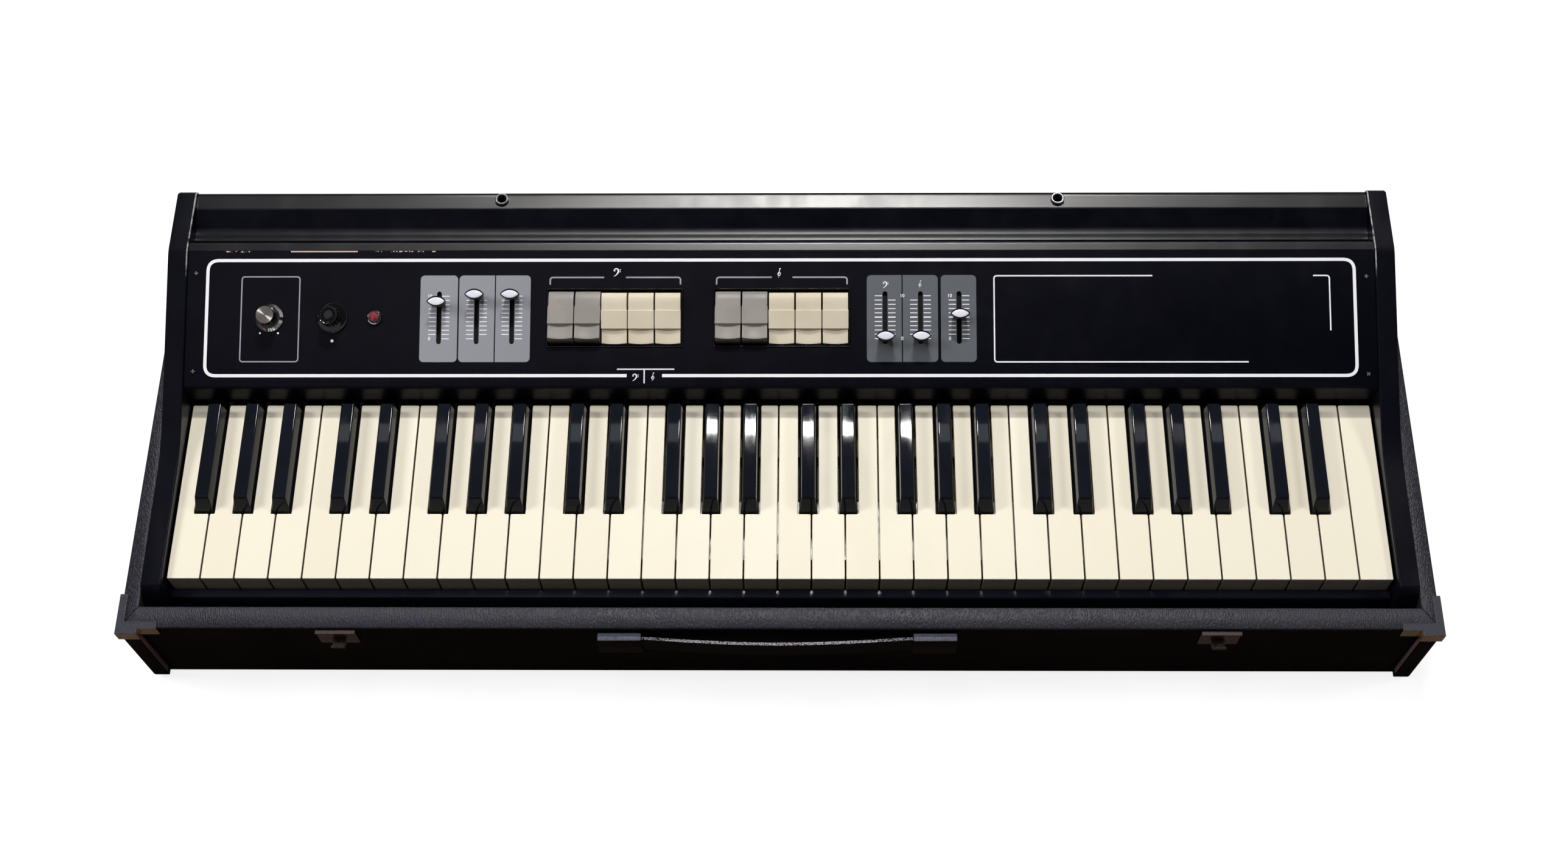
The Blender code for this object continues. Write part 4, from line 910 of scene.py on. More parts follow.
# %% [markdown]
# ## Making pieces
#
# A piece starts as a bmesh, becomes one object with its finish, and is then hung on
# the body that carries it, while the imported solid it takes the place of is hidden.
# Many imported solids already have the right form and only lack soft edges.  A
# copy of one gets its loose triangles merged into flat faces, and a Bevel modifier
# rolls its edges.  Where large flat faces meet narrow rounds, a Weighted Normal
# modifier lets the large ones set the shading, so that they look flat.

# %% Mesh helpers
def make_piece(bm, name, mat, place=None, smooth=30.0):
    bmesh.ops.recalc_face_normals(bm, faces=bm.faces)
    mesh = bpy.data.meshes.new(name)
    bm.to_mesh(mesh)
    bm.free()
    if place is not None:
        mesh.transform(place)
    mesh.materials.append(mat)
    mesh.shade_smooth()
    mesh.set_sharp_from_angle(angle=math.radians(smooth))
    piece = bpy.data.objects.new(name, mesh)
    bpy.context.scene.collection.objects.link(piece)
    return piece


def settle(piece):
    """Replace a piece's mesh by what its modifiers make of it."""
    bpy.context.view_layer.update()
    graph = bpy.context.evaluated_depsgraph_get()
    mesh = bpy.data.meshes.new_from_object(piece.evaluated_get(graph))
    if len(mesh.materials) > 1 and mesh.materials[0] is None:
        mesh.materials.pop(index=0)    # Set Material adds its slot behind an empty one
    piece.modifiers.clear()
    piece.data = mesh
    return piece


def roll_edges(piece, width, segments=2, angle=25.0):
    mod = piece.modifiers.new("rolled edges", "BEVEL")
    mod.width = width
    mod.segments = segments
    mod.limit_method = "ANGLE"
    mod.angle_limit = math.radians(angle)
    mod.harden_normals = True
    return settle(piece)


def even_shading(piece):
    """Let the large faces set the normals, so that only the narrow rounds curve."""
    mod = piece.modifiers.new("even shading", "WEIGHTED_NORMAL")
    mod.keep_sharp = True
    mod.weight = 100
    return settle(piece)


def cut(piece, cutters):
    for cutter in cutters:
        mod = piece.modifiers.new("cut", "BOOLEAN")
        mod.operation = "DIFFERENCE"
        mod.solver = "EXACT"
        mod.object = cutter
        settle(piece)
        bpy.data.objects.remove(cutter, do_unlink=True)
    return piece


def dress(piece, body="cabinet", stands_for=()):
    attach(piece, body)
    if stands_for:
        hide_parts(*stands_for)
    return piece


def repaint(mat, *nodes):
    """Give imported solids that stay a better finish."""
    for node in nodes:
        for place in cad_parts[node].material_slots:
            place.material = mat


def packed_copy(node):
    """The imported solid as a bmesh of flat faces."""
    bm = bmesh.new()
    bm.from_mesh(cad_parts[node].data)
    bmesh.ops.remove_doubles(bm, verts=bm.verts, dist=1e-6)
    bmesh.ops.dissolve_limit(bm, angle_limit=math.radians(0.5), verts=bm.verts,
                             edges=bm.edges)
    return bm


def soft_copy(node, mat, width, segments=2, angle=25.0):
    piece = make_piece(packed_copy(node), node + "_dressed", mat)
    dress(roll_edges(piece, width, segments, angle), stands_for=(node,))


# %% [markdown]
# ## The keys
#
# A white key is a thin moulded cover on a dark lever.  Its outline seen from above is
# the same for every F, every G and so on: a wide head, a narrower neck between the
# black keys, and small rounds at all corners.  The cover is that outline stacked at
# rising heights, drawn in along a quarter circle at the top, which gives the soft
# edge that fingers feel.  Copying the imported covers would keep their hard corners.

# %% Outline of a white key
SHARP_SHIFT = {"F": -0.0036, "G": 0.0, "A": 0.0036, "C": -0.0023, "D": 0.0023}
LETTERS = "FGABCDE"
BLACK_NOTCH = 0.0145
WHITE_HEAD, WHITE_LENGTH = 0.0490, 0.1345
WHITE_COVER, WHITE_LIP, LIP_WALL = 0.0035, 0.0190, 0.0030
TOP_ROUND = 0.0006
HEAD_ROUND, NECK_ROUND, END_ROUND, LIP_ROUND = 0.0009, 0.0006, 0.0012, 0.0002


def turned_corner(before, corner, after, radius, steps):
    """Points of a small curve that takes the place of a corner."""
    before, corner, after = Vector(before), Vector(corner), Vector(after)
    start = corner + (before - corner).normalized() * radius
    end = corner + (after - corner).normalized() * radius
    shares = [n / steps for n in range(steps + 1)]
    return [(1 - t) ** 2 * start + 2 * t * (1 - t) * corner + t * t * end
            for t in shares]


def soft_corners(points, radii, steps=3):
    """Closed loop with each corner turned along a small curve."""
    loop = []
    for k, corner in enumerate(points):
        loop += turned_corner(points[k - 1], corner, points[(k + 1) % len(points)],
                              radii[k], steps)
    return loop


def white_outline(index, letter, last):
    """Loop of a white key in x and y, and the x of its lever."""
    left_of = LETTERS[LETTERS.index(letter) - 1]
    x = KEYBOARD_LEFT + index * KEY_PITCH
    left, right = x + KEY_GAP / 2, x + KEY_PITCH - KEY_GAP / 2
    neck_left, neck_right = left, right
    if left_of in SHARP_SHIFT and not last:
        neck_left = x + SHARP_SHIFT[left_of] + BLACK_NOTCH / 2
    if letter in SHARP_SHIFT and not last:
        neck_right = x + KEY_PITCH + SHARP_SHIFT[letter] - BLACK_NOTCH / 2
    head, end = KEY_Y + WHITE_HEAD, KEY_Y + WHITE_LENGTH
    points, radii = [(left, KEY_Y), (right, KEY_Y)], [HEAD_ROUND, HEAD_ROUND]
    if neck_right < right:
        points += [(right, head), (neck_right, head)]
        radii += [END_ROUND, NECK_ROUND]
    points += [(neck_right, end), (neck_left, end)]
    radii += [END_ROUND, END_ROUND]
    if neck_left > left:
        points += [(neck_left, head), (left, head)]
        radii += [NECK_ROUND, END_ROUND]
    return soft_corners(points, radii), (neck_left + neck_right) / 2


# %% A stack of loops
def drawn_in(loop, inset):
    """Move every point of a loop inwards by the same distance."""
    moved = []
    for k, point in enumerate(loop):
        along = (loop[(k + 1) % len(loop)] - loop[k - 1]).normalized()
        moved.append(point + Vector((-along.y, along.x)) * inset)
    return moved


def stack_loops(bm, layers):
    """Close a body through (loop, height) layers."""
    rings = [[bm.verts.new((p[0], p[1], z)) for p in loop] for loop, z in layers]
    count = len(rings[0])
    for a, b in zip(rings, rings[1:]):
        for k in range(count):
            j = (k + 1) % count
            bm.faces.new((a[k], a[j], b[j], b[k]))
    bm.faces.new(rings[0][::-1])
    bm.faces.new(rings[-1])


def add_box(bm, x0, x1, y0, y1, z0, z1):
    made = bmesh.ops.create_cube(bm, size=1.0)["verts"]
    for v in made:
        v.co.x = x0 + (v.co.x + 0.5) * (x1 - x0)
        v.co.y = y0 + (v.co.y + 0.5) * (y1 - y0)
        v.co.z = z0 + (v.co.z + 0.5) * (z1 - z0)


def add_cover(bm, loop, left, right):
    """A white key's cover and its front face."""
    layers = [(loop, KEY_Z - WHITE_COVER)]
    for n in range(4):
        a = math.radians(30 * n)
        layers.append((drawn_in(loop, TOP_ROUND * (1 - math.cos(a))),
                       KEY_Z - TOP_ROUND * (1 - math.sin(a))))
    stack_loops(bm, layers)
    front = soft_corners([(left, KEY_Y), (right, KEY_Y), (right, KEY_Y + LIP_WALL),
                          (left, KEY_Y + LIP_WALL)],
                         [HEAD_ROUND, HEAD_ROUND, LIP_ROUND, LIP_ROUND])
    stack_loops(bm, [(front, KEY_Z - WHITE_LIP), (front, KEY_Z - WHITE_COVER)])


# %% [markdown]
# The keys of a comb share a back bar under the panel, with a heel under each lever.
# Levers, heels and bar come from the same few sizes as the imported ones.  The black
# keys are wedges that lean in on three sides; a Bevel modifier rolls their edges and
# keeps the flat faces flat.

# %% Levers and black keys
LEVER_HALF, LEVER_TOP, LEVER_UNDER = 0.0035, 0.0020, 0.0090
COMB_HEEL, BAR_HALF, BAR_CLEAR = 0.0170, 0.0040, 0.0024
COMB_AXES = {"face": 0.1850, "gbd": 0.1710, "sharps": 0.1570}
BLACK_BASE, BLACK_TOP, BLACK_RISE = 0.0128, 0.0092, 0.0120
BLACK_SLOPE, BLACK_BACK, BLACK_DROP = 0.0070, 0.1300, 0.0010
BLACK_ROLL, BLACK_GAP, LEVER_LAP = 0.0009, 0.0006, 0.001


def add_levers(bm, centres, group, front):
    axis = KEY_Y + COMB_AXES[group]
    back, bar_front = axis + BAR_HALF, axis - BAR_HALF
    under, heel = KEY_Z - LEVER_UNDER, KEY_Z - COMB_HEEL
    for c in centres:
        x0, x1 = c - LEVER_HALF, c + LEVER_HALF
        add_box(bm, x0, x1, front, back, under, KEY_Z - LEVER_TOP)
        add_box(bm, x0, x1, bar_front, back, heel, under)
    add_box(bm, min(centres) - LEVER_HALF, max(centres) + LEVER_HALF, bar_front, back,
            heel, under - BAR_CLEAR)


def add_wedge(bm, centre):
    """A black key above its base, leaning in at the sides and the front."""
    low, high = KEY_Z - LEVER_UNDER, KEY_Z + BLACK_RISE
    middle = KEY_Z - BLACK_DROP
    front, back = KEY_Y + WHITE_HEAD + BLACK_GAP, KEY_Y + BLACK_BACK
    rings = []
    for half, y, z in ((BLACK_BASE / 2, front, low), (BLACK_BASE / 2, front, middle),
                       (BLACK_TOP / 2, front + BLACK_SLOPE, high)):
        rings.append([(centre - half, y), (centre + half, y), (centre + half, back),
                      (centre - half, back)])
    stack_loops(bm, list(zip(rings, (low, middle, high))))


# %% Combs
def dress_white_comb(node, first, letters, group, last=False):
    covers, levers, centres = bmesh.new(), bmesh.new(), []
    for letter in letters:
        index = first + LETTERS.index(letter)
        loop, centre = white_outline(index, letter, last)
        left = KEYBOARD_LEFT + index * KEY_PITCH + KEY_GAP / 2
        add_cover(covers, loop, left, left + KEY_PITCH - KEY_GAP)
        centres.append(centre)
    add_levers(levers, centres, group, KEY_Y + LIP_WALL)
    piece = even_shading(make_piece(covers, node + "_covers", IVORY, None, 50.0))
    dress(piece, node, (node,))
    dress(make_piece(levers, node + "_levers", BLACK_PLASTIC), node)


def dress_sharp_comb(node, first):
    wedges, levers, centres = bmesh.new(), bmesh.new(), []
    for letter, shift in SHARP_SHIFT.items():
        centre = KEYBOARD_LEFT + (first + LETTERS.index(letter) + 1) * KEY_PITCH + shift
        add_wedge(wedges, centre)
        centres.append(centre)
    piece = make_piece(wedges, node + "_tops", EBONY, None, 35.0)
    roll_edges(piece, BLACK_ROLL, 3, 40.0)
    dress(piece, node, (node,))
    add_levers(levers, centres, "sharps", KEY_Y + BLACK_BACK - LEVER_LAP)
    dress(make_piece(levers, node + "_levers", BLACK_PLASTIC), node)


for octave in range(5):
    name = "keys_octave_%d_" % (octave + 1)
    dress_white_comb(name + "face", 7 * octave, "FACE", "face")
    dress_white_comb(name + "gbd", 7 * octave, "GBD", "gbd")
    dress_sharp_comb(name + "sharps", 7 * octave)
dress_white_comb("key_top_f", 35, "F", "face", last=True)
soft_copy("key_slip", SLIP_SATIN, 0.0005)
print("36 white and 25 black keys made")

# %% [markdown]
# ## Case, cheeks and moulding
#
# The wooden parts take the same route, with wider rolls where sandpaper and lacquer
# have softened the edges.

# %% Wooden parts
soft_copy("case_tray", VINYL, 0.0005)
soft_copy("left_cheek", CHEEK_LACQUER, 0.0005, 3, 20.0)
soft_copy("right_cheek", CHEEK_LACQUER, 0.0005, 3, 20.0)
repaint(LACQUER, "rear_panel")
repaint(STEEL, "keybed_frame")
repaint(BOARD, "key_contact_board", "tone_generator_board")
repaint(CONTROL_BOARD, "panel_circuit_board")
repaint(IRON, "power_transformer")

# %% [markdown]
# The moulding behind the panel is one long planed profile: a flat band, a slope, a
# narrow ledge, a groove and a nose.  The band and the ledge lean forward by two or
# three degrees and so catch the lamp, while the slope between them stays black.
# Its section is drawn once through a few points, with a curve at each corner, and
# pulled from cheek to cheek.  The two holes for the music rest are cut afterwards
# with a Boolean, as they are drilled on the real one.

# %% Moulding
moulding_low, moulding_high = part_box("rear_moulding")
BAND_Z = KEY_Z + 0.0550
PANEL_TOP = PANEL_ORIGIN.z + PANEL_LENGTH * math.sin(PANEL_SLOPE)
DRILL_RADIUS, DRILL_LENGTH = 0.0047, 0.06
SHARP = 0.00001
# y in front of the back, z above or under the flat band, round of the corner
SECTION = ((0.0, -0.0170, 0.0), (0.0, 0.0, 0.0048), (0.0146, -0.0006, 0.0010),
           (0.0292, -0.0073, 0.0030), (0.0320, -0.0075, 0.0010),
           (0.0350, -0.0082, 0.0010), (0.0372, -0.0084, 0.0005),
           (0.0384, -0.0102, 0.0005), (0.0403, -0.0080, 0.0005))


def moulding_section():
    points = [(moulding_high.y - y, BAND_Z + z) for y, z, _ in SECTION]
    radii = [max(r, SHARP) for _, _, r in SECTION]
    front = moulding_low.y
    points += [(moulding_high.y - 0.0442, BAND_Z + 0.0018), (front, PANEL_TOP),
               (front + 0.0008, PANEL_TOP - 0.0022),
               (front + 0.0008, moulding_low.z)]
    radii += [0.0020, SHARP, SHARP, SHARP]
    return soft_corners(points, radii, 6)


def make_moulding():
    x0, x1 = moulding_low.x, moulding_high.x
    bm = bmesh.new()
    rings = [[bm.verts.new((x, p[0], p[1])) for p in moulding_section()]
             for x in (x0, x1)]
    count = len(rings[0])
    for k in range(count):
        j = (k + 1) % count
        bm.faces.new((rings[0][k], rings[1][k], rings[1][j], rings[0][j]))
    bm.faces.new(rings[0])
    bm.faces.new(rings[1][::-1])
    bmesh.ops.remove_doubles(bm, verts=bm.verts, dist=1e-6)
    piece = make_piece(bm, "moulding", LACQUER, None, 30.0)
    drills = []
    for side in ("left", "right"):
        low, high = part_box(side + "_rest_socket")
        middle = (low + high) / 2
        drill = bmesh.new()
        bmesh.ops.create_cone(drill, cap_ends=True, segments=32, radius1=DRILL_RADIUS,
                              radius2=DRILL_RADIUS, depth=DRILL_LENGTH,
                              matrix=Matrix.Translation((middle.x, middle.y, BAND_Z)))
        drills.append(make_piece(drill, "drill", LACQUER))
    even_shading(cut(piece, drills))
    dress(piece, stands_for=("rear_moulding",))


make_moulding()

# %% [markdown]
# ## The control panel
#
# The panel is one sheet of steel, folded down behind the keys.  A fold in sheet
# metal is never sharp, so only the two lines of the fold are rounded here.

# %% Panel
FOLD_ROUND = 0.0016


def fold_edges(bm):
    """Edges along the panel's fold, outside and inside."""
    found = []
    for edge in bm.edges:
        a, b = (PANEL_FRAME.inverted() @ v.co for v in edge.verts)
        if all(abs(p.y) < 0.0008 and -0.0024 < p.z < 0.0004 for p in (a, b)):
            if abs(a.x - b.x) > 0.1:
                found.append(edge)
    return found


panel_mesh = packed_copy("control_panel")
bmesh.ops.bevel(panel_mesh, geom=fold_edges(panel_mesh), offset=FOLD_ROUND, segments=4,
                profile=0.5, affect="EDGES")
dress(make_piece(panel_mesh, "panel_sheet", ENAMEL),
      stands_for=("control_panel",))

# %% [markdown]
# ## Prints on the panel
#
# The lines, scales and grey fields are screen-printed ink.  They could be painted by
# the panel's shader, but ink has a thickness and a crisp edge, and thin meshes keep
# it crisp at any distance.  Each print is a flat 2-D curve: closed loops are filled,
# loops inside loops become holes, and a small extrusion gives the ink its body.

# %% Flat prints from loops
INK = 0.00006
INK_SUNK = 0.00006
DOT_STEPS = 16


def flat_print(name, loops, mat, ink=INK):
    """Closed loops of (x, s) points on the panel, filled and given the ink's body."""
    curve = bpy.data.curves.new(name, "CURVE")
    curve.dimensions = "2D"
    curve.fill_mode = "BOTH"
    curve.extrude = (ink + INK_SUNK) / 2
    for loop in loops:
        spline = curve.splines.new("POLY")
        spline.points.add(len(loop) - 1)
        for point, (x, s) in zip(spline.points, loop):
            point.co = (x, s, 0.0, 1.0)
        spline.use_cyclic_u = True
    item = bpy.data.objects.new(name + "_curve", curve)
    bpy.context.scene.collection.objects.link(item)
    dress(ink_piece(item, name, mat))


def ink_piece(item, name, mat, place=Matrix()):
    """Mesh of a flat curve or text, laid on the panel."""
    bpy.context.view_layer.update()
    graph = bpy.context.evaluated_depsgraph_get()
    mesh = bpy.data.meshes.new_from_object(item.evaluated_get(graph))
    bpy.data.objects.remove(item, do_unlink=True)
    bm = bmesh.new()
    bm.from_mesh(mesh)
    bmesh.ops.remove_doubles(bm, verts=bm.verts, dist=1e-7)
    lift = Matrix.Translation((0, 0, (INK - INK_SUNK) / 2))
    return make_piece(bm, name, mat, PANEL_FRAME @ lift @ place, 20.0)


def rounded_box(x0, x1, s0, s1, radius, steps=6):
    """Loop of a rectangle with round corners."""
    points = []
    for cx, cs, start in ((x1 - radius, s1 - radius, 0), (x0 + radius, s1 - radius, 90),
                          (x0 + radius, s0 + radius, 180),
                          (x1 - radius, s0 + radius, 270)):
        for k in range(steps + 1):
            a = math.radians(start + 90 * k / steps)
            points.append((cx + radius * math.cos(a), cs + radius * math.sin(a)))
    return points


def rounded_line(corners, radius, steps=6):
    """Open path through corners, each turned with a round."""
    points = [Vector(corners[0])]
    for three in zip(corners, corners[1:], corners[2:]):
        points += turned_corner(*three, radius, steps)
    points.append(Vector(corners[-1]))
    return points


def widened(path, widths):
    """Loop round an open path, as wide at each point as widths says."""
    path = [Vector(p) for p in path]
    if not isinstance(widths, (list, tuple)):
        widths = [widths] * len(path)
    left, right = [], []
    for i, point in enumerate(path):
        along = (path[min(i + 1, len(path) - 1)] - path[max(i - 1, 0)]).normalized()
        side = Vector((-along.y, along.x)) * (widths[i] / 2)
        left.append(tuple(point + side))
        right.append(tuple(point - side))
    return left + right[::-1]


def dot(x, s, radius):
    angles = [2 * math.pi * k / DOT_STEPS for k in range(DOT_STEPS)]
    return [(x + radius * math.cos(a), s + radius * math.sin(a)) for a in angles]


# %% [markdown]
# The white frame runs round the whole panel with round corners, and opens at the
# bottom for a small mark that shows where the bass half of the keyboard ends.  The
# marks for bass and treble are the two common clefs.  They are drawn here as thick
# and thin strokes along a few points, the way a pen draws them.

# %% Clefs
def smooth_stroke(points, widths, steps=6):
    """Catmull-Rom curve through points with a width at each."""
    path, wide = [], []
    for i in range(len(points) - 1):
        p0, p1 = Vector(points[max(i - 1, 0)]), Vector(points[i])
        p2, p3 = Vector(points[i + 1]), Vector(points[min(i + 2, len(points) - 1)])
        for k in range(steps):
            t = k / steps
            path.append(0.5 * ((2 * p1) + (p2 - p0) * t
                               + (2 * p0 - 5 * p1 + 4 * p2 - p3) * t * t
                               + (3 * p1 - p0 - 3 * p2 + p3) * t ** 3))
            wide.append(widths[i] + (widths[i + 1] - widths[i]) * t)
    path.append(Vector(points[-1]))
    wide.append(widths[-1])
    return widened(path, wide)


BASS_STROKE = ([(-0.26, 0.10), (-0.20, 0.26), (0.0, 0.36), (0.20, 0.22), (0.20, -0.04),
                (0.02, -0.30), (-0.26, -0.50)],
               [0.10, 0.10, 0.12, 0.17, 0.17, 0.11, 0.03])
TREBLE_STROKE = ([(-0.20, -0.50), (-0.06, -0.58), (0.05, -0.44), (0.02, -0.10),
                  (-0.04, 0.30), (0.04, 0.62), (0.15, 0.50), (0.08, 0.26),
                  (-0.16, 0.02), (-0.22, -0.18), (-0.04, -0.32), (0.20, -0.22),
                  (0.18, -0.02), (0.02, 0.04), (-0.08, -0.08)],
                 [0.12, 0.10, 0.08, 0.07, 0.07, 0.09, 0.11, 0.12, 0.13, 0.13, 0.12,
                  0.12, 0.10, 0.08, 0.05])


def clef_loops(kind, x, s, high):
    """Loops of a bass or treble clef, high metres tall, with its middle at (x, s)."""
    points, widths = BASS_STROKE if kind == "bass" else TREBLE_STROKE
    scale = high if kind == "bass" else high / 1.2
    path = [(x + px * scale, s + ps * scale) for px, ps in points]
    loops = [smooth_stroke(path, [w * scale for w in widths])]
    if kind == "bass":
        loops.append(dot(x - 0.20 * scale, s + 0.14 * scale, 0.10 * scale))
        for up in (0.24, 0.02):
            loops.append(dot(x + 0.42 * scale, s + up * scale, 0.06 * scale))
    return loops


# %% White lines
FRAME_X, FRAME_LOW, FRAME_HIGH = 0.4104, 0.0077, 0.0934
FRAME_LINE = 0.0023
FRAME_CORNER = 0.0078
SPLIT_GAP = (-0.1079, -0.0827)
SPLIT_MARK = ((-0.1149, -0.0740, 0.0130, 0.0139), (-0.0959, -0.0950, 0.0033, 0.0130))
SPLIT_CLEFS = {"bass": -0.1022, "treble": -0.0890}
SPLIT_CLEF_S, SPLIT_CLEF_HIGH = 0.0079, 0.0058
FIELD_CORNER, FIELD_LINE = 0.0022, 0.0010
FIELD_LINES = {
    "left": ((0.3329, 0.0186), (0.1534, 0.0186), (0.1534, 0.0806), (0.2660, 0.0806)),
    "right": ((0.3800, 0.0806), (0.3915, 0.0806), (0.3915, 0.0411)),
}


def print_clef(name, kind, x, s, high, ink=INK):
    for n, loop in enumerate(clef_loops(kind, x, s, high)):
        flat_print("%s_%s_%d" % (name, kind, n), [loop], PRINT_WHITE, ink)


def make_frame_line():
    half = FRAME_LINE / 2
    low, high = FRAME_LOW + half, FRAME_HIGH - half
    side = FRAME_X - half
    path = rounded_line([(SPLIT_GAP[0], low), (-side, low), (-side, high), (side, high),
                         (side, low), (SPLIT_GAP[1], low)], FRAME_CORNER, 8)
    flat_print("frame_line", [widened(path, FRAME_LINE)], PRINT_WHITE)
    flat_print("split_mark", [rounded_box(*box, 0.0002, 2) for box in SPLIT_MARK],
               PRINT_WHITE)
    for kind, x in SPLIT_CLEFS.items():
        print_clef("split_clef", kind, x, SPLIT_CLEF_S, SPLIT_CLEF_HIGH)


def make_blank_field_line():
    """Broken outline round the empty field at the treble end."""
    for side, corners in FIELD_LINES.items():
        path = rounded_line(corners, FIELD_CORNER)
        flat_print("field_line_" + side, [widened(path, FIELD_LINE)], PRINT_WHITE)


make_frame_line()
make_blank_field_line()

# %% Brackets, boxes and dots
BRACKET_S = 0.0797
BRACKET_LINE = 0.0011
# both ends, both sides of the gap, place of the clef
BRACKETS = {"bass": (-0.1633, -0.0701, -0.1248, -0.1091, -0.1161, 0.0837),
            "treble": (-0.0443, 0.0488, -0.0049, 0.0099, 0.0007, 0.0827)}
BRACKET_FOOT = 0.0052
BANK_CLEF_HIGH = 0.0066


def make_brackets():
    for bank, (x0, x1, gap0, gap1, clef_x, clef_s) in BRACKETS.items():
        for n, (end, inner) in enumerate(((x0, gap0), (x1, gap1))):
            path = rounded_line([(end, BRACKET_S - BRACKET_FOOT), (end, BRACKET_S),
                                 (inner, BRACKET_S)], FIELD_CORNER)
            flat_print("bracket_%s_%d" % (bank, n), [widened(path, BRACKET_LINE)],
                       PRINT_GREY)
        print_clef("bank_clef", bank, clef_x, clef_s, BANK_CLEF_HIGH)


make_brackets()
flat_print("tune_box", [rounded_box(-0.3849, -0.3424, 0.0185, 0.0808, 0.0024),
                        rounded_box(-0.3840, -0.3433, 0.0194, 0.0799, 0.0016)],
           PRINT_GREY)
flat_print("knob_dots", [dot(-0.3705, 0.0395, 0.0007), dot(-0.3576, 0.0395, 0.0007),
                         dot(-0.3187, 0.0339, 0.0011)], PRINT_WHITE)

# %% [markdown]
# Each group of sliders stands on a grey field with a slot for each stem.  The field
# is filled between its outer loop and the slots' loops.

# %% Slider fields
PLATE_LOW, PLATE_HIGH = 0.0186, 0.0812
PLATE_CORNER = 0.0030
SLOT_HALF = (0.0017, 0.0190)
PLATES = {
    "volume": (-0.2561, -0.2293, ["volume_slider"]),
    "tone": (-0.2283, -0.1772, ["brass_tone_slider", "strings_tone_slider"]),
    "sustain": (0.0628, 0.1134, ["bass_sustain_slider", "treble_sustain_slider"]),
    "vibrato": (0.1155, 0.1407, ["vibrato_slider"]),
}
DIVIDERS = {"tone": -0.2025, "sustain": 0.0880}
DIVIDER_LINE = 0.0008


def slot_loop(x):
    half_w, half_l = SLOT_HALF
    return rounded_box(x - half_w, x + half_w, CONTROL_LINE - half_l,
                       CONTROL_LINE + half_l, half_w - 0.00001, 8)


for name, (x0, x1, members) in PLATES.items():
    loops = [rounded_box(x0, x1, PLATE_LOW, PLATE_HIGH, PLATE_CORNER)]
    loops += [slot_loop(SLIDERS[member]) for member in members]
    flat_print("scale_field_" + name, loops, PLATE_GREY)
for name, x in DIVIDERS.items():
    flat_print("field_divider_" + name,
               [rounded_box(x - DIVIDER_LINE / 2, x + DIVIDER_LINE / 2, PLATE_LOW,
                            PLATE_HIGH, 0.0001, 1)], ENAMEL, ink=INK * 1.6)

# %% [markdown]
# ## Scale marks with Geometry Nodes
#
# Every slider has a ladder of short lines on both sides.  They repeat at an even
# step, which is what Geometry Nodes are good at: a Mesh Line gives the steps, a thin
# box is instanced on them, and the ladder itself is instanced on one point for each
# side of each slider.  The sizes are inputs of the tree, so a wider ladder is one
# number away.

# %% A ladder of marks
LADDER_STEP = 0.00308
LADDER_MARKS = 11
LADDER_FIRST = 0.0354
MARK_LONG = 0.0052


def start_growth(name, sizes):
    """A Geometry Nodes tree that gets points and named sizes."""
    tree = bpy.data.node_groups.new(name, "GeometryNodeTree")
    tree.interface.new_socket("Geometry", in_out="INPUT",
                              socket_type="NodeSocketGeometry")
    for label, value in sizes.items():
        kind = "NodeSocketInt" if isinstance(value, int) else "NodeSocketFloat"
        socket = tree.interface.new_socket(label, in_out="INPUT", socket_type=kind)
        socket.default_value = value
    tree.interface.new_socket("Geometry", in_out="OUTPUT",
                              socket_type="NodeSocketGeometry")
    coming = tree.nodes.new("NodeGroupInput").outputs
    going = tree.nodes.new("NodeGroupOutput").inputs
    return tree, coming, going


def end_growth(tree, going, instances, mat):
    """Make instances real, give them their finish, and hand them out."""
    real = put(tree, "GeometryNodeRealizeInstances", {0: instances})
    done = put(tree, "GeometryNodeSetMaterial", {0: real.outputs[0], "Material": mat})
    tree.links.new(done.outputs[0], going[0])
    return tree


def make_ladder_tree(mat):
    tree, coming, going = start_growth(
        "ladder of marks", {"Marks": LADDER_MARKS, "Step": LADDER_STEP,
                            "Length": MARK_LONG, "Width": 0.0006, "Bold width": 0.0009})
    offset = put(tree, "ShaderNodeCombineXYZ", {"Y": coming["Step"]}).outputs[0]
    line = put(tree, "GeometryNodeMeshLine",
               {"Count": coming["Marks"], "Offset": offset}).outputs["Mesh"]
    size = put(tree, "ShaderNodeCombineXYZ",
               {"X": coming["Length"], "Y": coming["Width"], "Z": 2.2 * INK}).outputs[0]
    box = put(tree, "GeometryNodeMeshCube", {"Size": size}).outputs["Mesh"]
    index = put(tree, "GeometryNodeInputIndex").outputs[0]
    middle = divided(tree, minus(tree, coming["Marks"], 1.0), 2.0)
    away = calc(tree, "ABSOLUTE", minus(tree, index, middle))
    bold = calc(tree, "LESS_THAN", away, 0.5)
    growth = divided(tree, coming["Bold width"], coming["Width"])
    growth = plus(tree, 1.0, times(tree, bold, minus(tree, growth, 1.0)))
    scale = put(tree, "ShaderNodeCombineXYZ", {"X": 1.0, "Y": growth, "Z": 1.0})
    ladder = put(tree, "GeometryNodeInstanceOnPoints",
                 {"Points": line, "Instance": box, "Scale": scale.outputs[0]})
    spread = put(tree, "GeometryNodeInstanceOnPoints",
                 {"Points": coming["Geometry"], "Instance": ladder.outputs[0]})
    return end_growth(tree, going, spread.outputs[0], mat)


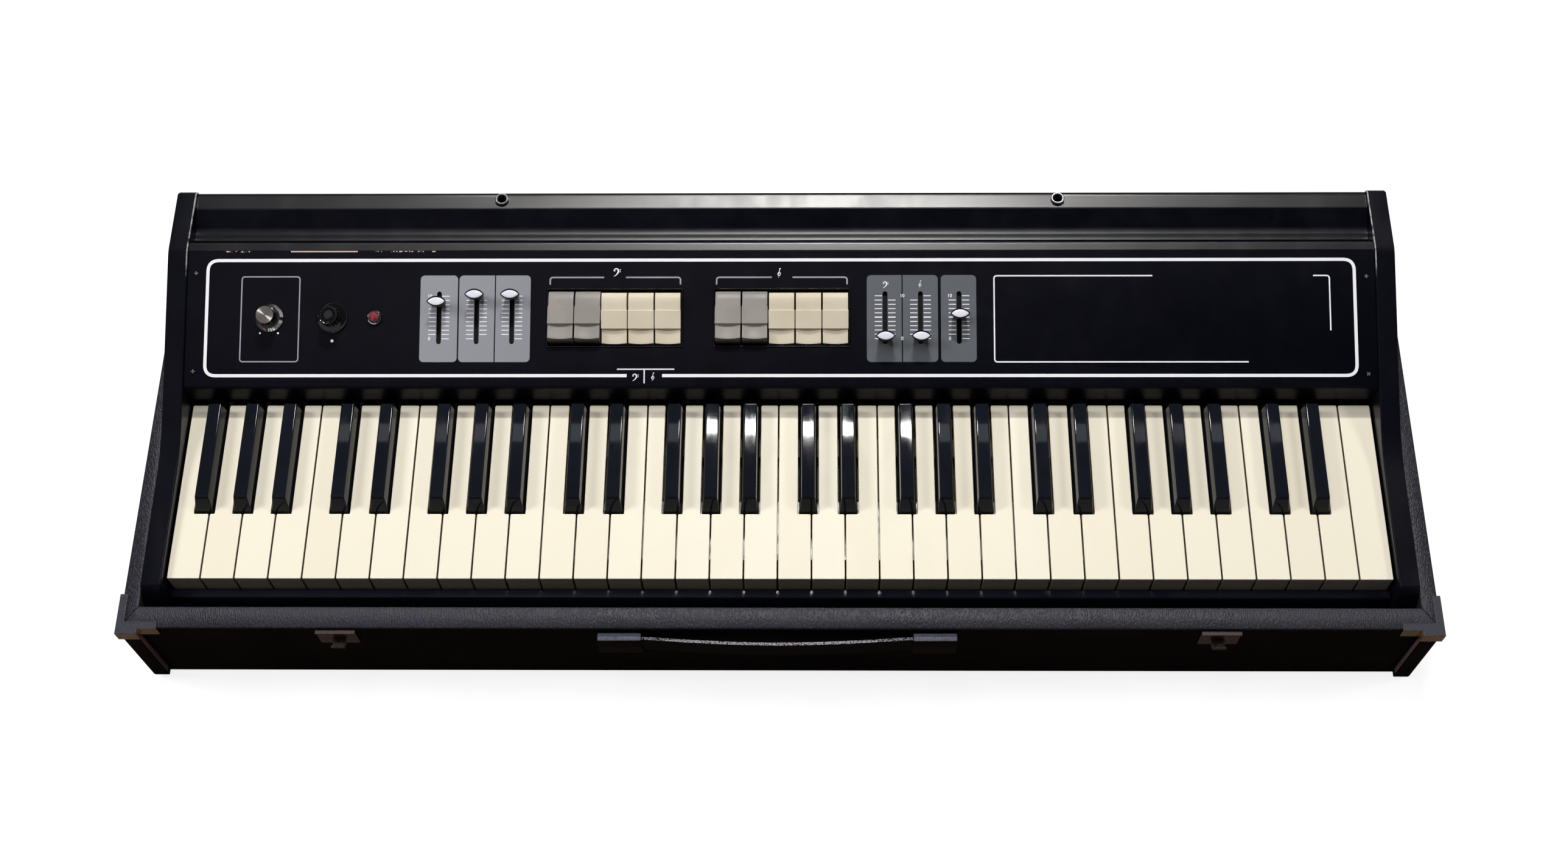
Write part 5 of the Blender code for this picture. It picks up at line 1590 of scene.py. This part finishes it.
def grow(name, points, tree, sizes, place):
    """One plain mesh from a Geometry Nodes tree on points, laid in place."""
    mesh = bpy.data.meshes.new(name)
    mesh.from_pydata(points, [], [])
    piece = bpy.data.objects.new(name, mesh)
    bpy.context.scene.collection.objects.link(piece)
    mod = piece.modifiers.new("grow", "NODES")
    mod.node_group = tree
    for socket in tree.interface.items_tree:
        if socket.item_type == "SOCKET" and socket.name in sizes:
            mod[socket.identifier] = sizes[socket.name]
    settle(piece)
    piece.data.transform(place)
    piece.data.shade_smooth()
    piece.data.set_sharp_from_angle(angle=math.radians(30.0))
    return piece


LADDERS = make_ladder_tree(PRINT_WHITE)
MARK_OFFSET = 0.0022 + MARK_LONG / 2
# the side on which a slider's ladder has no end marks, to leave room for numbers
SHORT_SIDE = {"volume_slider": -1, "brass_tone_slider": 1, "strings_tone_slider": -1,
              "bass_sustain_slider": 1, "treble_sustain_slider": -1,
              "vibrato_slider": -1}
full, short = [], []
for name, x in SLIDERS.items():
    for side in (-1, 1):
        beside = x + side * MARK_OFFSET
        if side == SHORT_SIDE[name]:
            short.append((beside, LADDER_FIRST + LADDER_STEP, INK * 0.5))
        else:
            full.append((beside, LADDER_FIRST, INK * 0.5))
for name, points, marks in (("scale_marks", full, LADDER_MARKS),
                            ("scale_marks_numbered", short, LADDER_MARKS - 2)):
    dress(grow(name, points, LADDERS, {"Marks": marks}, PANEL_FRAME))

# %% Numbers on the scales
NUMBER_HIGH = 0.0034
SUSTAIN_CLEF_S, SUSTAIN_CLEF_HIGH = 0.0745, 0.0052
LADDER_LAST = LADDER_FIRST + LADDER_STEP * (LADDER_MARKS - 1)
NUMBERED = {"volume": SLIDERS["volume_slider"] - 0.0068, "sustain": DIVIDERS["sustain"],
            "vibrato": SLIDERS["vibrato_slider"] - 0.0066}


def print_number(name, text, x, s):
    curve = bpy.data.curves.new(name, "FONT")
    curve.body = text
    curve.size = NUMBER_HIGH
    curve.align_x = "CENTER"
    curve.align_y = "CENTER"
    curve.offset = 0.00005
    curve.extrude = (INK * 2 + INK_SUNK) / 2
    item = bpy.data.objects.new(name + "_text", curve)
    bpy.context.scene.collection.objects.link(item)
    dress(ink_piece(item, name, PRINT_WHITE, Matrix.Translation((x, s, INK / 2))))


for field, x in NUMBERED.items():
    print_number("number_ten_" + field, "10", x, LADDER_LAST)
    print_number("number_zero_" + field, "0", x, LADDER_FIRST)
for kind in BANKS:
    print_clef("sustain_clef", kind, SLIDERS[kind + "_sustain_slider"],
               SUSTAIN_CLEF_S, SUSTAIN_CLEF_HIGH, INK * 1.8)

# %% [markdown]
# ## Rocker tabs
#
# A rocker tab is a small moulded lever.  Seen from above it has a plain upper face,
# a raised band for a label, and a thumb scoop that is deepest in the middle.  A
# subdivided box with a sculpted top would do, but the scoop follows a rule, so the
# top is a grid whose heights come from a profile along the tab and a dish across it.

# %% Tabs
TAB_WIDTH, TAB_LENGTH = 0.0178, 0.0370
BAND_OVER = 0.0003
TAB_FACE, TAB_STEP = 0.0052, 0.0007
TAB_UNDER = 0.0060
TAB_PIVOT = 0.0050
TAB_ROCK = math.radians(9.0)
BAND_LOW, BAND_HIGH = -0.37, 0.32
SCOOP = 0.0007
SCOOP_MIDDLE = 0.0013
TAB_COLUMNS = 16
TAB_EDGE = 0.00020


def tab_section(u):
    """Heights along a tab, for the share u of half its width off the middle."""
    half, face = TAB_LENGTH / 2, TAB_FACE
    deep = SCOOP + SCOOP_MIDDLE * (1 - u * u)
    low, high = half * BAND_LOW, half * BAND_HIGH
    wall = low - 0.0002 - 0.7 * deep
    end = -half + 0.0016 - 0.55 * deep
    line = [(-half, -TAB_UNDER), (-half, face - 0.0042),
            (-half + 0.0001, face - 0.0036), (end, face - 0.55 * deep - 0.0002),
            (end + 0.0006, face - 0.55 * deep)]
    for t in (0.25, 0.5, 0.75):
        s = end + 0.0006 + (wall - end - 0.0006) * t
        line.append((s, face - deep * (0.55 + 0.45 * math.sin(t * math.pi / 2))))
    line += [(wall, face - deep), (low - 0.0001, face + TAB_STEP - 0.0001),
             (low + 0.0001, face + TAB_STEP), (high - 0.0001, face + TAB_STEP),
             (high + 0.0001, face + TAB_STEP - 0.0002), (high + 0.0003, face),
             (half * 0.60, face), (half * 0.78, face - 0.0003),
             (half * 0.90, face - 0.0013), (half * 0.97, face - 0.0026),
             (half, face - 0.0042), (half, -TAB_UNDER)]
    return line


def make_tab_mesh():
    """A closed body from sections across the tab; the band is a little wider."""
    bm = bmesh.new()
    rows = []
    for k in range(TAB_COLUMNS + 1):
        u = -1 + 2 * k / TAB_COLUMNS
        inset = TAB_EDGE if abs(u) == 1 else 0.0
        row = []
        for s, n in tab_section(u):
            over = BAND_OVER if n > TAB_FACE + TAB_STEP / 2 else 0.0
            x = u * (TAB_WIDTH / 2 + over)
            row.append(bm.verts.new((x, s, n - (inset if n > 0 else 0.0))))
        rows.append(row)
    count = len(rows[0])
    for a, b in zip(rows, rows[1:]):
        for i in range(count):
            j = (i + 1) % count
            bm.faces.new((a[i], a[j], b[j], b[i]))
    bm.faces.new(rows[0])
    bm.faces.new(rows[-1][::-1])
    return bm


def make_tabs():
    for bank, centre in BANKS.items():
        for k in range(5):
            grey = k < 2
            node = "%s_tab_%d" % (bank, k + 1)
            rock = TAB_ROCK if grey else -TAB_ROCK
            x = centre + (k - 2) * TAB_PITCH
            place = panel_place(x, CONTROL_LINE, -TAB_PIVOT)
            place = place @ Matrix.Rotation(-rock, 4, "X")
            place = place @ Matrix.Translation((0.0, 0.0, TAB_PIVOT))
            piece = make_piece(make_tab_mesh(), node + "_cap", GREY if grey else CREAM,
                               place, 28.0)
            even_shading(piece)
            dress(piece, node, (node,))


make_tabs()
for bank in BANKS:
    soft_copy(bank + "_tab_frame", BLACK_PLASTIC, 0.0002)
print("10 tabs made")

# %% [markdown]
# ## Slider caps
#
# A slider cap is a black boat-shaped grip that widens upwards, with a thin polished
# leaf of aluminium let into its top.  Its plan is two equal arcs that meet in a
# point at each end.  Stacking that plan at several heights, each with its own scale,
# gives the flare.

# %% Slider caps
CAP_LENGTH, CAP_WIDTH = 0.0140, 0.0078
# height over the panel, share of the cap's or the leaf's full size
CAP_LAYERS = ((0.0018, 0.76), (0.0030, 0.77), (0.0060, 0.82), (0.0090, 0.89),
              (0.0112, 0.96), (0.0120, 0.995), (0.0124, 1.0), (0.0125, 0.985))
LEAF_LAYERS = ((0.0121, 1.0), (0.0127, 1.0), (0.01285, 0.96), (0.0130, 0.75),
               (0.0131, 0.4))
LEAF_SHARE, LEAF_SLIM = 0.87, 0.84
LEAF_BACK = 0.0001
STEM = (0.0018, 0.0026)


def lens_loop(length, width, steps=14):
    half = length / 2
    radius = (half * half + width * width / 4) / width
    reach = math.asin(half / radius)
    points = []
    for side in (1, -1):
        for k in range(steps):
            a = -reach + 2 * reach * k / steps
            points.append((-side * radius * math.sin(a),
                           side * (radius * math.cos(a) - (radius - width / 2))))
    return points


def stacked(layers):
    """A new closed body through (loop, height) layers."""
    bm = bmesh.new()
    stack_loops(bm, layers)
    return bm


def make_slider_caps():
    for node, x in SLIDERS.items():
        s = slope_height_of_cap(node)
        body = stacked([(lens_loop(CAP_LENGTH * k, CAP_WIDTH * k), n)
                        for n, k in CAP_LAYERS])
        add_box(body, -STEM[0] / 2, STEM[0] / 2, -STEM[1] / 2, STEM[1] / 2, -0.002,
                0.0022)
        dress(make_piece(body, node + "_grip", BLACK_PLASTIC, panel_place(x, s), 35.0),
              node, (node,))
        leaf = []
        for n, share in LEAF_LAYERS:
            size = LEAF_SHARE * share
            loop = lens_loop(CAP_LENGTH * size, CAP_WIDTH * LEAF_SLIM * size)
            leaf.append(([(px, py - LEAF_BACK) for px, py in loop], n))
        dress(make_piece(stacked(leaf), node + "_leaf", LEAF_SILVER, panel_place(x, s),
                         40.0), node)


def slope_height_of_cap(node):
    """Middle of a cap up the slope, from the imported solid's top face."""
    inverse = PANEL_FRAME.inverted()
    places = [inverse @ v.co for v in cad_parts[node].data.vertices]
    top = [p.y for p in places if p.z > CAP_LAYERS[-1][0] - 0.0005]
    return (min(top) + max(top)) / 2


make_slider_caps()

# %% [markdown]
# ## Knobs and lamp
#
# Turned shapes come from a profile spun round an axis.  The tune knob has a polished
# metal skirt, a fluted black grip and the spun cap.  The power knob is all black
# with a dished top.  The flutes are a second loop of points, in and out in turn.

# %% Knobs
def spun_body(profile, steps=64, closed=False):
    """Spin (radius, n) points about Z; a closed profile makes a ring."""
    bm = bmesh.new()
    rings = []
    for radius, n in profile:
        if radius < 1e-6:
            rings.append([bm.verts.new((0.0, 0.0, n))])
        else:
            rings.append([bm.verts.new((radius * math.cos(2 * math.pi * k / steps),
                                        radius * math.sin(2 * math.pi * k / steps), n))
                          for k in range(steps)])
    pairs = list(zip(rings, rings[1:]))
    if closed:
        pairs.append((rings[-1], rings[0]))
    for a, b in pairs:
        for k in range(steps):
            j = (k + 1) % steps
            if len(a) == 1:
                bm.faces.new((a[0], b[j], b[k]))
            elif len(b) == 1:
                bm.faces.new((a[k], a[j], b[0]))
            else:
                bm.faces.new((a[k], a[j], b[j], b[k]))
    return bm


def fluted_loop(radius, depth, flutes, share):
    """Loop of a grip; the flutes keep their depth while the radius shrinks."""
    points = []
    count = flutes * FLUTE_STEPS
    for k in range(count):
        a = 2 * math.pi * k / count
        r = radius * share - depth * (0.5 - 0.5 * math.cos(flutes * a)) ** 0.6
        points.append((r * math.cos(a), r * math.sin(a)))
    return points


def add_turned(name, profile, mat, x, body, stands_for=(), steps=64, closed=False,
               smooth=30.0):
    piece = make_piece(spun_body(profile, steps, closed), name, mat,
                       panel_place(x, CONTROL_LINE), smooth)
    dress(piece, body, stands_for)


def add_grip(name, radius, depth, flutes, layers, x, body):
    """A fluted grip; layers are (height, share of the radius)."""
    grip = stacked([(fluted_loop(radius, depth, flutes, k), n) for n, k in layers])
    dress(make_piece(grip, name, KNOB_BLACK, panel_place(x, CONTROL_LINE), 35.0),
          body)


FLUTE_STEPS = 4
KNOB_HIGH = 0.0140
TUNE_SKIRT, TUNE_BODY, TUNE_CAP = 0.0101, 0.0070, 0.0062
POWER_SKIRT, POWER_BODY = 0.0111, 0.0076


def make_tune_knob():
    node = "tune_knob"
    skirt = [(0.0, -0.0018), (0.0029, -0.0018), (0.0029, 0.0004),
             (TUNE_SKIRT - 0.0006, 0.0004), (TUNE_SKIRT, 0.0008), (TUNE_SKIRT, 0.0014),
             (TUNE_SKIRT - 0.0005, 0.0020), (TUNE_BODY + 0.0012, 0.0036),
             (TUNE_BODY, 0.0040), (0.0, 0.0040)]
    add_turned("tune_skirt", skirt, BRIGHT_CHROME, TUNE_X, node, (node,))
    layers = [(0.0038, 1.0), (0.0100, 0.97), (0.0128, 0.955), (0.0134, 0.94),
              (0.0136, 0.91)]
    add_grip("tune_grip", TUNE_BODY, 0.00035, 24, layers, TUNE_X, node)
    cap = [(0.0, 0.0132), (TUNE_CAP, 0.0132), (TUNE_CAP, 0.0138),
           (TUNE_CAP - 0.0002, KNOB_HIGH), (TUNE_CAP * 0.5, KNOB_HIGH),
           (0.0, KNOB_HIGH)]
    add_turned("tune_cap", cap, SPUN, TUNE_X, node)


def make_power_knob():
    node = "power_switch_knob"
    skirt = [(0.0, -0.0018), (0.0029, -0.0018), (0.0029, 0.0005),
             (POWER_SKIRT - 0.0005, 0.0005), (POWER_SKIRT, 0.0009),
             (POWER_SKIRT, 0.0015), (POWER_SKIRT - 0.0004, 0.0020),
             (POWER_SKIRT - 0.0016, 0.0028), (POWER_BODY + 0.0006, 0.0038),
             (POWER_BODY - 0.0004, 0.0046), (0.0, 0.0046)]
    add_turned("power_skirt", skirt, KNOB_BLACK, POWER_X, node,
               (node,))
    layers = [(0.0036, 1.0), (0.0100, 0.95), (0.0130, 0.93), (0.0137, 0.91),
              (0.0140, 0.87), (0.0138, 0.80), (0.0130, 0.70), (0.0126, 0.45)]
    add_grip("power_grip", POWER_BODY, 0.0004, 20, layers, POWER_X, node)


make_tune_knob()
make_power_knob()

# %% Pilot lamp
BEZEL = 0.0054
FACETS = 12


def make_lamp():
    ring = [(0.0034, -0.0018), (0.0039, -0.0018), (0.0039, 0.0003), (BEZEL, 0.0003),
            (BEZEL, 0.0011), (BEZEL - 0.0004, 0.0019), (BEZEL - 0.0012, 0.0024),
            (BEZEL - 0.0019, 0.0021), (0.0034, 0.0012)]
    add_turned("lamp_bezel", ring, BRIGHT_CHROME, LAMP_X, "cabinet",
               ("pilot_lamp",), 48, closed=True)
    jewel = [(0.0, -0.0010), (0.0033, -0.0010), (0.0033, 0.0030), (0.0030, 0.0046),
             (0.0019, 0.0057), (0.0, 0.0062)]
    add_turned("lamp_jewel", jewel, JEWEL, LAMP_X, "cabinet", (), FACETS,
               smooth=10.0)


make_lamp()

# %% [markdown]
# ## Hardware
#
# The bent and pressed metal keeps its packed form with rolled edges.  A thin metal
# edging covers the inner side of both front posts, where the lid slides down, and its
# pale brown-pink colour is a painted reflection of the brown surroundings.

# %% Hardware
for side in ("left", "right"):
    soft_copy(side + "_corner_guard", CHROME, 0.0002)
    soft_copy(side + "_latch_keeper", LATCH_METAL, 0.00025)
    soft_copy(side + "_handle_cap", HANDLE_GREY, 0.0003)
    repaint(NICKEL, side + "_rest_socket")
soft_copy("handle_strap", STRAP_BLACK, 0.0005)
post_front = tray_low.y
EDGING_X, EDGING_THICK, EDGING_BACK = cheek_inner + 0.0145, 0.0005, 0.0004
EDGING_LOW, EDGING_HIGH = 0.0120, RIM_Z - 0.0095
for side, sign in (("left", -1), ("right", 1)):
    strip = bmesh.new()
    x0, x1 = sorted((sign * EDGING_X, sign * EDGING_X - sign * EDGING_THICK))
    add_box(strip, x0, x1, post_front + EDGING_BACK, post_front + POST_PROUD,
            EDGING_LOW, EDGING_HIGH)
    piece = make_piece(strip, side + "_edging", EDGING)
    roll_edges(piece, 0.00015, 1)
    dress(piece)
repaint(BRIGHT_CHROME, "output_jack")
repaint(BLACK_PLASTIC, "cord_gland")

# %% [markdown]
# ## Screws with Geometry Nodes
#
# Screws repeat too.  One tree makes a countersunk head with a cross slot and puts it
# on every point, turned by a fixed random angle, because nobody lines screws up.

# %% Screws
def make_screw_tree(mat):
    tree, coming, going = start_growth(
        "cross-head screws", {"Head radius": 0.0030, "Head height": 0.0008,
                              "Slot width": 0.0007, "Seed": 3})
    top_radius = times(tree, coming["Head radius"], 0.72)
    head = put(tree, "GeometryNodeMeshCone",
               {"Vertices": 28, "Side Segments": 2, "Radius Top": top_radius,
                "Radius Bottom": coming["Head radius"], "Depth": coming["Head height"]})
    cutters = put(tree, "GeometryNodeJoinGeometry")
    for turned in (False, True):
        long, wide = coming["Head radius"], coming["Slot width"]
        feed = {"X": wide, "Y": long} if turned else {"X": long, "Y": wide}
        size = put(tree, "ShaderNodeCombineXYZ", {**feed, "Z": coming["Head height"]})
        bar = put(tree, "GeometryNodeMeshCube", {"Size": size.outputs[0]})
        up = put(tree, "ShaderNodeCombineXYZ",
                 {"Z": times(tree, coming["Head height"], 0.85)})
        moved = put(tree, "GeometryNodeTransform",
                    {0: bar.outputs["Mesh"], "Translation": up.outputs[0]})
        tree.links.new(moved.outputs[0], cutters.inputs[0])
    cross = put(tree, "GeometryNodeMeshBoolean", operation="DIFFERENCE")
    tree.links.new(head.outputs["Mesh"], cross.inputs["Mesh 1"])
    tree.links.new(cutters.outputs[0], cross.inputs["Mesh 2"])
    angle = put(tree, "FunctionNodeRandomValue", {"Seed": coming["Seed"]},
                data_type="FLOAT")
    turn = put(tree, "ShaderNodeCombineXYZ",
               {"Z": times(tree, angle.outputs[1], math.pi)})
    heads = put(tree, "GeometryNodeInstanceOnPoints",
                {"Points": coming["Geometry"], "Instance": cross.outputs[0],
                 "Rotation": turn.outputs[0]})
    return end_growth(tree, going, heads.outputs[0], mat)


SCREWS = make_screw_tree(SCREW_STEEL)
panel_screws = [(-0.4174, 0.0829, 0.0003), (-0.4174, 0.0118, 0.0003),
                (0.4174, 0.0798, 0.0003), (0.4170, 0.0098, 0.0003)]
dress(grow("panel_screws", panel_screws, SCREWS,
           {"Head radius": 0.0028, "Head height": 0.0008, "Seed": 5}, PANEL_FRAME))
